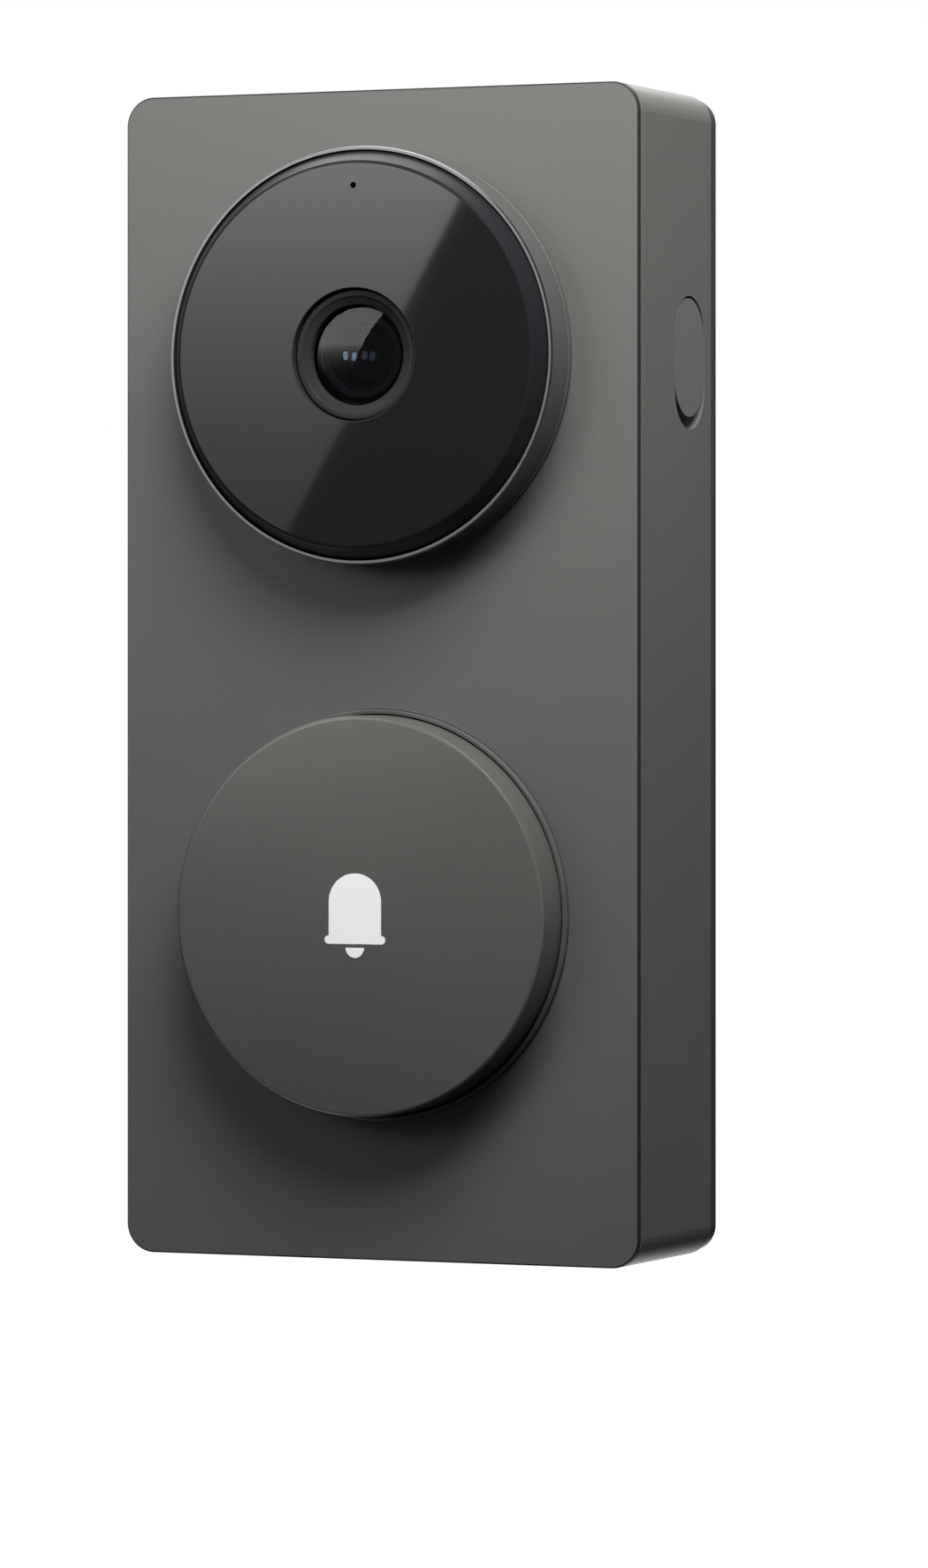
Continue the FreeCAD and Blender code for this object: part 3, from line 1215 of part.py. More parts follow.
if abs(lead.Shape.Volume / (math.pi * lead_radius**2 * path.Length) - 1) > 0.01:
    raise RuntimeError("the battery lead lost volume")

# ---------------------------------------------------------------- speaker
SPEAKER_FOOT = f"(-{INSIDE_Z} + mesh_thick)"
speaker = new_body("speaker")
pad(speaker, UNDER, SPEAKER_FOOT, "speaker_tall", [
    rounded("0", f"-{SPEAKER_DEPTH}", "speaker_wide", "speaker_thick", "1.5"),
])
keep("speaker_mesh", block("speaker_mesh", "0", f"-{INSIDE_Z} + mesh_thick/2", "speaker_rear + 0.5",
                           "speaker_wide - 2",
                           "mesh_thick", "speaker_thick - 1"))

# ---------------------------------------------------------------- antenna, reed switch
keep("wifi_antenna", block("wifi_antenna", f"-{INSIDE_X} + antenna_thick/2", "-antenna_drop", "antenna_rear",
                           "antenna_thick",
                           "antenna_tall", "antenna_wide"))
reed = doc.addObject("Part::Cylinder", "reed_switch")
bind(reed, Radius="reed_radius", Height="reed_length", x="-reed_side", y=f"-({FLOOR} + reed_radius)",
     z=f"{REED_Z} - reed_length/2")
keep("reed_switch", reed)

# ---------------------------------------------------------------- terminals
terminal = new_body("terminal_block")
pad(terminal, FRONT, FLOOR, "terminal_thick", [rounded("0", TERMINAL_Z, "terminal_wide", "terminal_tall",
                                                       "1.5")])
TERMINAL_FACE = f"({FLOOR} + terminal_thick - terminal_floor)"
pocket(terminal, FRONT, TERMINAL_FACE, "terminal_thick - terminal_floor", [
    rounded("0", TERMINAL_Z, "terminal_wide - 2*terminal_wall", "terminal_tall - 2*terminal_wall", "1.5"),
])
TERMINAL_PLACES = [(f"{side}*terminal_pitch/2", TERMINAL_Z) for side in (-1, 1)]
for x, z in TERMINAL_PLACES:
    pocket(terminal, FRONT, f"{TERMINAL_FACE} + 2", "2", [circle(x, z, "terminal_screw_radius*0.5")])
screws("terminal_screws", TERMINAL_PLACES, f"{TERMINAL_FACE} - terminal_screw_tall", "terminal_screw_tall",
       "terminal_screw_radius", f"{TERMINAL_FACE} + 2", "terminal_screw_radius*0.5", "slot")

# ---------------------------------------------------------------- side port
port_board = block("port_board_slab", f"{PORT_BOARD_FRONT} - port_board_thick/2", PORT_Z, f"{FLOOR} + 0.8",
                   "port_board_thick", "port_board_tall", "port_board_wide")
keep("port_board", port_board)
usb = new_body("usb_socket")
pad(usb, SIDE, PORT_BOARD_FRONT, "usb_deep", [pill("-port_depth", USB_Z, "usb_wide", "usb_long")])
pocket(usb, SIDE, f"{PORT_BOARD_FRONT} + usb_deep", "usb_cavity", [
    pill("-port_depth", USB_Z, "usb_wide - 2*usb_shell", "usb_long - 2*usb_shell"),
])
pad(usb, SIDE, f"{PORT_BOARD_FRONT} + usb_deep - usb_cavity - 0.1", "usb_cavity - 1", [
    rectangle("-port_depth", USB_Z, "0.7", "usb_long - 2.3"),
])
RESET_BACK = f"({PORT_BOARD_FRONT} + reset_switch_tall)"
keep("reset_switch", block("reset_switch", f"{PORT_BOARD_FRONT} + reset_switch_tall/2", RESET_Z,
                           "port_depth - reset_switch_side/2", "reset_switch_tall", "reset_switch_side",
                           "reset_switch_side"))
pin = side_rod("reset_pin", f"{RESET_BACK} + reset_travel + touch_gap", "port_depth", RESET_Z,
               f"{PORT_FLOOR_X} - {RESET_BACK} - reset_travel - touch_gap", "reset_radius")
collar = side_rod("reset_flange", f"{PORT_INNER_X} - 0.7", "port_depth", RESET_Z, "0.6", "reset_collar")
keep("reset_button", fuse("reset_button", [pin, collar]))

# The port cover is soft silicone, flush with the side. A notch is left below it for a fingernail.
COVER_LONG = "(port_long - port_notch - cover_clearance)"
COVER_Z = "(port_rise + port_notch/2 - cover_clearance/2)"
COVER_OUT = "(body_width/2 - cover_inset)"
flap = new_body("port_cover")
pad(flap, SIDE, f"{COVER_OUT} - cover_thick", "cover_thick", [
    pill("-port_depth", COVER_Z, "port_wide - 2*cover_clearance", COVER_LONG),
])
pad(flap, SIDE, f"{COVER_OUT} - cover_thick - plug_reach", "plug_reach + weld", [
    pill("-port_depth", USB_Z, "usb_wide - 2*usb_shell - 0.4", "usb_long - 2*usb_shell - 2*plug_slack"),
])

# ---------------------------------------------------------------- check and write
doc.recompute()
for item in doc.Objects:
    if "Invalid" in item.State or "Error" in item.State:
        raise RuntimeError(f"{item.Name} failed: {item.State}")
for label, piece in nodes.items():
    if piece.Shape.isNull() or not piece.Shape.isValid() or piece.Shape.Volume <= 0:
        raise RuntimeError(f"{label} has no valid shape")
os.makedirs("parts", exist_ok=True)
for label, piece in nodes.items():
    piece.Shape.exportStep(f"parts/{label}.step")
print(f"{len(nodes)} sub-parts written")
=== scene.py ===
import math
import bmesh
import bpy
from mathutils import Matrix, Vector


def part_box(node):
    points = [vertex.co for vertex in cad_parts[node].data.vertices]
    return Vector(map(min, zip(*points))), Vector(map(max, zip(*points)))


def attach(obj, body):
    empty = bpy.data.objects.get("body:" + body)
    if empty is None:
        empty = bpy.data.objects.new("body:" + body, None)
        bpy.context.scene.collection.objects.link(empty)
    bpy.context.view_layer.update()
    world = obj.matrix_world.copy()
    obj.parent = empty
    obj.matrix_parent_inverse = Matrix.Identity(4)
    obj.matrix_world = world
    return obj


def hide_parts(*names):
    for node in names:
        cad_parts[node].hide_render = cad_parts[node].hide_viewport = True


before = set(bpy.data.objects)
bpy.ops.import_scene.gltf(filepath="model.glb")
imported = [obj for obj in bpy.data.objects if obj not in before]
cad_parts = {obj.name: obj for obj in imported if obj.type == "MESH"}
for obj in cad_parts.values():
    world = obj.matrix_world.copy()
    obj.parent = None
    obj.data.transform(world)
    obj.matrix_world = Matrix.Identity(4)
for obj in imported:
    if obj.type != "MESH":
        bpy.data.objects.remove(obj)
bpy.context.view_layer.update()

# ------------------------------------------------------------------ camera
# A long lens at the doorbell's own height, turned round to its right side.
# It looks level, and its shift puts the doorbell above the middle of the frame.
AZIMUTH = math.radians(23.5)
DISTANCE = 0.88
camera_data = bpy.data.cameras.new("camera")
camera_data.sensor_fit = "VERTICAL"
camera_data.sensor_height = 36
camera_data.lens = 164.5
camera_data.shift_y = -0.0696
camera = bpy.data.objects.new("camera", camera_data)
bpy.context.scene.collection.objects.link(camera)
camera.location = (DISTANCE * math.sin(AZIMUTH), -DISTANCE * math.cos(AZIMUTH), 0)
camera.rotation_euler = (math.radians(90), 0, AZIMUTH)
bpy.context.scene.camera = camera
bpy.context.scene.view_settings.view_transform = "Standard"


# ------------------------------------------------------------------ floor and studio
# A pale seamless floor below the doorbell, in a room that the camera sees white and that lights it dimly.
# The rest of the light comes from soft boxes above, in front, below, behind and at both sides.
class Wire:
    """A shader socket that adds its Math nodes as it is used in an expression."""

    def __init__(self, tree, socket):
        self.tree = tree
        self.socket = socket

    def math(self, operation, first, second=0.0):
        node = self.tree.nodes.new("ShaderNodeMath")
        node.operation = operation
        for slot, item in zip(node.inputs, (first, second)):
            if isinstance(item, Wire):
                self.tree.links.new(item.socket, slot)
            else:
                slot.default_value = item
        return Wire(self.tree, node.outputs[0])

    def __add__(self, other):
        return self.math("ADD", self, other)

    def __sub__(self, other):
        return self.math("SUBTRACT", self, other)

    def __mul__(self, other):
        return self.math("MULTIPLY", self, other)

    def __truediv__(self, other):
        return self.math("DIVIDE", self, other)


class Finish:
    """A material being mixed: its tree, its main shader, and one method that adds any node."""

    def __init__(self, name, **constants):
        self.material = bpy.data.materials.new(name)
        self.material.use_nodes = True
        self.tree = self.material.node_tree
        self.shader = self.tree.nodes["Principled BSDF"]
        for socket, amount in constants.items():
            self.set(socket.replace("_", " "), amount)

    def set(self, socket, amount):
        target = self.shader.inputs[socket]
        if isinstance(amount, Wire):
            self.tree.links.new(amount.socket, target)
        else:
            is_colour = isinstance(amount, tuple) and len(amount) == 3
            target.default_value = (*amount, 1) if is_colour else amount

    def add(self, kind, output=0, settings=None, **sockets):
        """A node whose sockets are set by name, or by number as n0, n1 and so on."""
        node = self.tree.nodes.new("ShaderNode" + kind)
        for key, choice in (settings or {}).items():
            setattr(node, key, choice)
        for key, amount in sockets.items():
            by_number = key[0] == "n" and key[1:].isdigit()
            target = node.inputs[int(key[1:]) if by_number else key.replace("_", " ")]
            if isinstance(amount, Wire):
                self.tree.links.new(amount.socket, target)
            else:
                target.default_value = amount
        return Wire(self.tree, node.outputs[output])

    def place(self):
        """The piece's own Object coordinates."""
        return self.add("TexCoord", output=3)

    def noise(self, size, detail=2.0, stretch=(1, 1, 1)):
        """Noise from 0 to 1 whose blobs are about a size across, in metres."""
        spread = self.add("Mapping", Vector=self.place(), Scale=stretch)
        return self.add("TexNoise", Vector=spread, Scale=1 / size, Detail=detail)

    def blend(self, amount, dark, light):
        """A colour between two, by a number."""
        return self.add("Mix", output=2, settings={"data_type": "RGBA"}, n0=amount,
                        n6=(*dark, 1), n7=(*light, 1))

    def bump(self, height, depth):
        """Relief of a depth in metres."""
        self.set("Normal", self.add("Bump", Height=height, Distance=depth, Strength=1.0))


FLOOR_Z = -0.30
FLOOR_HALF = 6
floor_mesh = bmesh.new()
bmesh.ops.create_grid(floor_mesh, x_segments=8, y_segments=8, size=FLOOR_HALF)
floor_data = bpy.data.meshes.new("floor")
floor_mesh.to_mesh(floor_data)
floor_mesh.free()
floor_data.transform(Matrix.Translation((0, 0, FLOOR_Z)))
floor = bpy.data.objects.new("floor", floor_data)
bpy.context.scene.collection.objects.link(floor)
pale = Finish("pale_floor", Roughness=0.9)
pale.set("Base Color", pale.blend(pale.noise(0.4), (0.90, 0.90, 0.90), (0.93, 0.93, 0.93)))
pale.set("Emission Color", (1.0, 1.0, 1.0))
pale.set("Emission Strength", 0.97)
floor_data.materials.append(pale.material)
floor.visible_diffuse = False
floor.visible_glossy = False
floor.visible_transmission = False

ROOM_LIGHT = 0.06
world = bpy.data.worlds.new("room")
bpy.context.scene.world = world
world.use_nodes = True
room = world.node_tree
sky = room.nodes["Background"]
room_seen = room.nodes.new("ShaderNodeLightPath")
room_level = room.nodes.new("ShaderNodeMapRange")
room.links.new(room_seen.outputs["Is Camera Ray"], room_level.inputs["Value"])
room_level.inputs["To Min"].default_value = ROOM_LIGHT
room_level.inputs["To Max"].default_value = 1.0
room.links.new(room_level.outputs["Result"], sky.inputs["Strength"])
sky.inputs["Color"].default_value = (1, 1, 1, 1)


def softbox(name, place, aim, wide, tall, watts):
    """A rectangular area light that faces a point, out of the camera's sight."""
    data = bpy.data.lights.new(name, "AREA")
    data.shape = "RECTANGLE"
    data.size = wide
    data.size_y = tall
    data.energy = watts
    lamp = bpy.data.objects.new(name, data)
    bpy.context.scene.collection.objects.link(lamp)
    towards = (Vector(aim) - Vector(place)).to_track_quat("-Z", "Y")
    lamp.matrix_world = Matrix.Translation(place) @ towards.to_matrix().to_4x4()
    lamp.visible_camera = False
    return lamp


key_box = softbox("key_box", (0.10, -0.15, 0.24), (0.03, 0.0, 0.14), 0.20, 0.16, 3.7)
key_box.visible_transmission = False
key_box.visible_glossy = False
top_box = softbox("top_box", (-0.08, 0.13, 0.40), (-0.02, 0.0, 0.06), 0.62, 0.30, 1.75)
top_box.visible_transmission = False
foot_box = softbox("foot_box", (-0.12, 0.12, -0.28), (0.0, 0.0, -0.07), 0.40, 0.24, 0.40)
foot_box.visible_transmission = False
for name, high_up, watts in (("back_top", 0.30, 0.6), ("back_foot", -0.24, 0.45)):
    softbox(name, (-0.12, 0.42, high_up), (0.0, 0.0, 0.0), 0.30, 0.12, watts)
left_box = softbox("left_box", (-0.40, 0.02, 0.10), (0.0, 0.0, 0.0), 0.25, 0.25, 0.5)
left_box.visible_glossy = False
side_box = softbox("side_box", (0.24, -0.02, 0.22), (0.0, -0.02, 0.15), 0.12, 0.12, 0.35)
side_box.visible_glossy = False
side_box.visible_transmission = False

# The panel that the polished cover mirrors: it leans, and it fades towards its foot.
PANEL_DISTANCE = 0.5
PANEL_WIDE = 0.34
PANEL_TALL = 0.60
PANEL_LEAN = math.radians(27.5)
plate_low, plate_high = (Vector(corner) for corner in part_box("front_plate"))
front_y = plate_low.y
cup_low, cup_high = (Vector(corner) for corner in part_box("camera_bezel"))
camera_z = (cup_low.z + cup_high.z) / 2
mirrored = Vector((-math.sin(AZIMUTH), -math.cos(AZIMUTH), camera_z / DISTANCE))
panel_middle = Vector((0, front_y, camera_z)) + PANEL_DISTANCE * mirrored
panel_right = Vector((math.cos(AZIMUTH), -math.sin(AZIMUTH), 0))
panel_up = Vector((0, 0, 1))
along = panel_right * math.sin(PANEL_LEAN) + panel_up * math.cos(PANEL_LEAN)
inwards = -panel_right * math.cos(PANEL_LEAN) + panel_up * math.sin(PANEL_LEAN)
centre = panel_middle + inwards * PANEL_WIDE / 2
facing = Matrix((inwards, along, inwards.cross(along))).transposed().to_4x4()
panel_size = Matrix.Diagonal((PANEL_WIDE, PANEL_TALL, 1, 1))
panel_mesh = bmesh.new()
bmesh.ops.create_grid(panel_mesh, x_segments=2, y_segments=2, size=0.5,
                      matrix=Matrix.Translation(centre) @ facing @ panel_size)
panel_data = bpy.data.meshes.new("mirror_panel")
panel_mesh.to_mesh(panel_data)
panel_mesh.free()
panel = bpy.data.objects.new("mirror_panel", panel_data)
bpy.context.scene.collection.objects.link(panel)
panel.visible_camera = False
panel.visible_diffuse = False
panel.visible_shadow = False
panel.visible_transmission = False
GLOW_STEP = 0.033
GLOW_GROWTH = 2.2
GLOW_MIDDLE = 0.20
GLOW_LEAST = 0.017
GLOW_MOST = 0.8
glow = Finish("panel_glow", Roughness=1.0)
height = glow.add("SeparateXYZ", output=2, Vector=glow.place())
steps_up = (height - panel_middle.z) / GLOW_STEP
rising = steps_up.math("POWER", GLOW_GROWTH, steps_up) * GLOW_MIDDLE
level = glow.add("Clamp", Value=rising, Min=GLOW_LEAST, Max=GLOW_MOST)
glow.set("Emission Strength", 3.3)
glow.set("Base Color", (0.0, 0.0, 0.0))
glow.set("Emission Color", glow.blend(level, (0.0, 0.0, 0.0), (1.0, 1.0, 1.0)))
panel_data.materials.append(glow.material)

# Two small lamps that only the glass deep in the lens answers, as a pair of cool glints.
GLINT_DISTANCE = 0.3
GLINT_RISE = 0.01
for name, bearing, watts in (("glint_left", -40, 0.035), ("glint_right", -14, 0.006)):
    turn = math.radians(bearing)
    spot = (GLINT_DISTANCE * math.sin(turn), -GLINT_DISTANCE * math.cos(turn), camera_z + GLINT_RISE)
    glint = softbox(name, spot, (0.0, 0.0, camera_z), 0.04, 0.05, watts)
    glint.data.shape = "ELLIPSE"
    glint.data.color = (0.62, 0.80, 1.0)
    glint.visible_glossy = False


# ------------------------------------------------------------------ wall plate
# Black glass-filled nylon, moulded, held on the wall by two countersunk screws.
# Two slanted tongues carry the doorbell, and a bent leaf of spring steel at its foot latches it.
MM = 0.001
PATCH = 18 * MM


def grained(name, colour, roughness, grain=0.25 * MM, depth=0.012 * MM, metallic=0.0, drift=0.12):
    """A moulded or blasted surface: fine grain, a slow drift of tone, and softer sheen in patches."""
    finish = Finish(name, Metallic=metallic)
    fine = finish.noise(grain, 3)
    broad = finish.noise(PATCH, 2)
    tone = fine * 0.5 + broad * 0.5
    darker = tuple(c * (1 - drift) for c in colour)
    lighter = tuple(min(1, c * (1 + drift)) for c in colour)
    finish.set("Base Color", finish.blend(tone, darker, lighter))
    finish.set("Roughness", broad * 0.08 + fine * 0.06 + (roughness - 0.07))
    finish.bump(fine, depth)
    return finish


def dress(node, *finishes):
    """Give a CAD node its finish."""
    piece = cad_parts[node]
    piece.data.materials.clear()
    for finish in finishes:
        piece.data.materials.append(finish.material)


black_plastic = grained("black_plastic", (0.026, 0.026, 0.026), 0.5)
dress("wall_plate", black_plastic)

spring_steel = Finish("spring_steel", Metallic=1.0)
rolled = spring_steel.noise(0.4 * MM, 4, (1, 1, 0.05))
spring_steel.set("Base Color", spring_steel.blend(rolled, (0.42, 0.42, 0.43), (0.62, 0.62, 0.62)))
spring_steel.set("Roughness", rolled * 0.2 + 0.25)
spring_steel.bump(rolled, 0.004 * MM)
for node in ("latch_spring", "button_clips", "speaker_mesh", "shield_cans", "usb_socket", "microphone"):
    dress(node, spring_steel)

plated = grained("nickel_plate", (0.66, 0.64, 0.6), 0.22, 0.6 * MM, 0.004 * MM, metallic=1.0)
for node in ("tamper_magnet", "case_screws", "camera_screws", "button_screws", "board_screws"):
    dress(node, plated)

# ------------------------------------------------------------------ housing
# Deep tub, moulded in one piece with its rails, bosses and standoffs, and painted matt graphite.
# Four screws from the rear clamp it to the front frame over a rubber seal.
GRAPHITE = (0.076, 0.0745, 0.071)
paint = grained("graphite_paint", GRAPHITE, 0.52, 0.22 * MM, 0.010 * MM, metallic=0.15, drift=0.10)
paint.set("Specular IOR Level", 0.25)
dress("housing", paint)

# ------------------------------------------------------------------ battery, boards and speaker
# A foil pouch cell lies on foam tape beside green boards with black chips under steel cans.
# The speaker is a black moulded box, and the small parts are moulded, turned or stamped.
foil = Finish("pouch_foil", Metallic=0.9)
creases = foil.noise(3 * MM, 4)
foil.set("Base Color", foil.blend(creases, (0.55, 0.55, 0.56), (0.78, 0.78, 0.79)))
foil.set("Roughness", creases * 0.25 + 0.2)
foil.bump(creases, 0.08 * MM)
dress("battery_pack", foil)

foam = grained("foam_tape", (0.05, 0.05, 0.05), 0.9, 0.4 * MM, 0.05 * MM)
for node in ("battery_pad", "cover_seal"):
    dress(node, foam)

vinyl = grained("red_vinyl", (0.42, 0.025, 0.02), 0.35, 0.5 * MM, 0.006 * MM)
dress("battery_lead", vinyl)

for node in ("battery_plug", "ribbon_connectors", "speaker", "terminal_block", "lens_mount", "lens_barrel",
             "tact_switch", "reset_switch", "main_chips", "image_sensor", "light_sensor"):
    dress(node, black_plastic)

board_green = Finish("green_board", Roughness=0.35, Coat_Weight=0.3)
TRACK_PITCH = 9 * MM
tracks = board_green.add("TexBrick", output=1, Vector=board_green.place(), Scale=1 / TRACK_PITCH,
                         Mortar_Size=0.012, Mortar_Smooth=0.4, Brick_Width=0.5, Row_Height=0.16)
weave = board_green.noise(0.8 * MM, 2)
copper = board_green.blend(tracks, (0.012, 0.10, 0.040), (0.03, 0.22, 0.08))
board_green.set("Base Color", copper)
board_green.bump(tracks * 0.8 + weave * 0.2, 0.02 * MM)
for node in ("main_board", "button_board", "sensor_board", "ir_led_board", "port_board"):
    dress(node, board_green)

amber = Finish("amber_film", Roughness=0.3)
LINE_PITCH = 3 * MM
lines = amber.add("TexWave", output=1, settings={"bands_direction": "X"}, Vector=amber.place(),
                  Scale=1 / LINE_PITCH)
amber.set("Base Color", amber.blend(lines, (0.30, 0.12, 0.02), (0.50, 0.24, 0.05)))
amber.bump(lines, 0.01 * MM)
for node in ("camera_ribbon", "wifi_antenna"):
    dress(node, amber)

brass = grained("turned_brass", (0.78, 0.58, 0.25), 0.28, 0.5 * MM, 0.005 * MM, metallic=1.0)
dress("terminal_screws", brass)

acetal = grained("white_acetal", (0.66, 0.66, 0.63), 0.4, 0.5 * MM, 0.005 * MM)
for node in ("switch_plunger", "button_carrier", "reset_button"):
    dress(node, acetal)

resin = grained("clear_resin", (0.75, 0.7, 0.45), 0.15, 1.0 * MM, 0.004 * MM)
for node in ("ir_leds", "ring_leds"):
    dress(node, resin)

rubber = grained("black_rubber", (0.016, 0.016, 0.016), 0.75, 0.3 * MM, 0.01 * MM)
for node in ("housing_seal", "button_membrane", "mic_gasket"):
    dress(node, rubber)

tube_glass = Finish("tube_glass", Base_Color=(0.5, 0.6, 0.55, 1), Transmission_Weight=0.9, IOR=1.5)
tube_glass.set("Roughness", tube_glass.noise(2 * MM) * 0.05 + 0.02)
dress("reed_switch", tube_glass)
filter_glass = Finish("filter_glass", Base_Color=(0.4, 0.08, 0.12, 1), Transmission_Weight=0.8, IOR=1.5)
filter_glass.set("Roughness", filter_glass.noise(2 * MM) * 0.03 + 0.01)
dress("ir_filter", filter_glass)

# ------------------------------------------------------------------ front frame and front plate
# The moulded black frame shows only as the thin line behind the plate, and the camera cup screws to it.
# The plate is aluminium, blasted and anodised graphite, and bonded to the frame.
dress("front_frame", black_plastic)
dress("camera_cup", black_plastic)


MERGE = 1e-7


def finished(name, work, body, slot, *finishes, replaced=(), crease=20):
    """Turn a bmesh into a piece that rides on a body, with smooth shading and sharp creases."""
    bmesh.ops.remove_doubles(work, verts=work.verts, dist=MERGE)
    bmesh.ops.recalc_face_normals(work, faces=work.faces)
    for face in work.faces:
        face.smooth = True
    for edge in work.edges:
        if len(edge.link_faces) == 2 and edge.calc_face_angle(0) > math.radians(crease):
            edge.smooth = False
    data = bpy.data.meshes.new(name)
    work.to_mesh(data)
    work.free()
    for finish in finishes:
        data.materials.append(finish.material)
    piece = bpy.data.objects.new(name, data)
    bpy.context.scene.collection.objects.link(piece)
    steady = piece.modifiers.new("flat_faces_stay_flat", "WEIGHTED_NORMAL")
    steady.keep_sharp = True
    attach(piece, body)
    if replaced:
        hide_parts(*replaced)
    return piece


def bored(work, holes, depth, around=160):
    """Cut round holes, each (x, z, radius), along y and as long as the depth."""
    solid = bpy.data.objects.new("solid", bpy.data.meshes.new("solid"))
    work.to_mesh(solid.data)
    work.free()
    bpy.context.scene.collection.objects.link(solid)
    cutters = []
    for x, z, radius in holes:
        drill = bmesh.new()
        placed = Matrix.Translation((x, front_y, z)) @ Matrix.Rotation(math.pi / 2, 4, "X")
        bmesh.ops.create_cone(drill, cap_ends=True, segments=around, radius1=radius, radius2=radius,
                              depth=depth, matrix=placed)
        cutter = bpy.data.objects.new("drill", bpy.data.meshes.new("drill"))
        drill.to_mesh(cutter.data)
        drill.free()
        bpy.context.scene.collection.objects.link(cutter)
        step = solid.modifiers.new("hole", "BOOLEAN")
        step.object = cutter
        step.solver = "EXACT"
        cutters.append(cutter)
    bpy.context.view_layer.update()
    result = solid.evaluated_get(bpy.context.evaluated_depsgraph_get()).to_mesh()
    cut_work = bmesh.new()
    cut_work.from_mesh(result)
    for thing in cutters + [solid]:
        bpy.data.objects.remove(thing)
    return cut_work


def slab(lowest, highest, radius, edge, segments=14):
    """A plate facing -Y with round corners and a small bevel round its front edge."""
    work = bmesh.new()
    size = highest - lowest
    middle = Matrix.Translation((lowest + highest) / 2)
    bmesh.ops.create_cube(work, size=1, matrix=middle @ Matrix.Diagonal((*size, 1)))
    corners = [e for e in work.edges if abs(e.verts[0].co.y - e.verts[1].co.y) > size.y / 2]
    bmesh.ops.bevel(work, geom=corners, offset=radius, segments=segments, profile=0.5, affect="EDGES",
                    material=-1)
    rim = [e for e in work.edges if all(abs(v.co.y - lowest.y) < MERGE for v in e.verts)]
    bmesh.ops.bevel(work, geom=rim, offset=edge, segments=2, profile=0.5, affect="EDGES", material=-1)
    return work


CORNER = 3.5 * MM
bezel_radius = (cup_high.x - cup_low.x) / 2
cap_low, cap_high = (Vector(c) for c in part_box("button_cap"))
button_z = (cap_low.z + cap_high.z) / 2
button_radius = (cap_high.x - cap_low.x) / 2
BEZEL_OVERLAP = 1.0 * MM
RING_WALL = 0.5 * MM
RING_GAP = 0.2 * MM

RING_FIT = 0.05 * MM
PLATE_BEVEL = 0.2 * MM
THROUGH = 10 * MM
SQUARE_TO_FRONT = 0.97
plate_finish = grained("blasted_aluminium", (0.114, 0.112, 0.107), 0.44, 0.16 * MM, 0.012 * MM,
                       metallic=0.55, drift=0.08)
work = bored(slab(plate_low, plate_high, CORNER, PLATE_BEVEL), (
    (0, camera_z, bezel_radius - BEZEL_OVERLAP),
    (0, button_z, button_radius + RING_GAP + RING_WALL + RING_FIT),
), THROUGH)
# Faces not square to the front (side, bevel and bores) take near-black painted shade, so the plate's edge
# reads as a dark line and its bevel catches no light.
for face in work.faces:
    if abs(face.normal.y) < SQUARE_TO_FRONT:
        face.material_index = 1
edge_painted_shade = grained("plate_edge_painted_shade", (0.012, 0.012, 0.012), 0.5, 0.2 * MM, 0.006 * MM)
edge_painted_shade.set("Specular IOR Level", 0.3)
finished("front_plate_skin", work, "doorbell", "graphite_aluminium", plate_finish, edge_painted_shade,
         replaced=("front_plate",))

# ------------------------------------------------------------------ camera bezel
# Turned aluminium ring that stands on the front plate, blasted like it, with its spigot in the bore.
# A diamond cut leaves its front rim bright.
TURN_STEPS = 160
FOLD = math.radians(30)


def turned(profile, z, sharp=None):
    """Spin a profile of (radius, y) points about a front-to-back axis. Sharp rings get a small bevel."""
    work = bmesh.new()
    points = [work.verts.new((radius, y, z)) for radius, y in profile]
    edges = [work.edges.new((a, b)) for a, b in zip(points, points[1:])]
    if profile[0][0] > 0 and profile[-1][0] > 0:
        edges.append(work.edges.new((points[-1], points[0])))
    bmesh.ops.spin(work, geom=points + edges, cent=(0, 0, z), axis=(0, 1, 0), angle=2 * math.pi,
                   steps=TURN_STEPS, use_merge=True)
    bmesh.ops.remove_doubles(work, verts=work.verts, dist=MERGE)
    bmesh.ops.recalc_face_normals(work, faces=work.faces)
    if sharp:
        folds = (e for e in work.edges if len(e.link_faces) == 2)
        rings = [e for e in folds if e.calc_face_angle(0) > FOLD]
        bmesh.ops.bevel(work, geom=rings, offset=sharp, segments=3, profile=0.5, affect="EDGES", material=-1)
    return work


bezel_front = cup_low.y
bezel_rear = cup_high.y
RIM = 0.55 * MM
rim_finish = Finish("diamond_cut_rim", Metallic=1.0)
swirl = rim_finish.noise(0.3 * MM, 2)
rim_finish.set("Base Color", rim_finish.blend(swirl, (0.30, 0.30, 0.30), (0.40, 0.40, 0.40)))
rim_finish.set("Roughness", swirl * 0.08 + 0.32)
bezel_finish = grained("bezel_graphite", (0.075, 0.074, 0.071), 0.42, 0.16 * MM, 0.010 * MM,
                       metallic=0.5, drift=0.08)
SPIGOT_INSIDE = bezel_radius - BEZEL_OVERLAP - 0.6 * MM
SPIGOT_OUTSIDE = bezel_radius - BEZEL_OVERLAP - 0.1 * MM
SKIN = 0.01 * MM
FLANGE = 0.7 * MM
FLANGE_SLOPE = 0.1 * MM
STEP_IN = 0.12 * MM
RIM_CHAMFER = 0.25 * MM
COVER_SEAT = 3.3 * MM
CUT_DEEP = 0.24 * MM
CUT_WIDE = RIM - 0.05 * MM
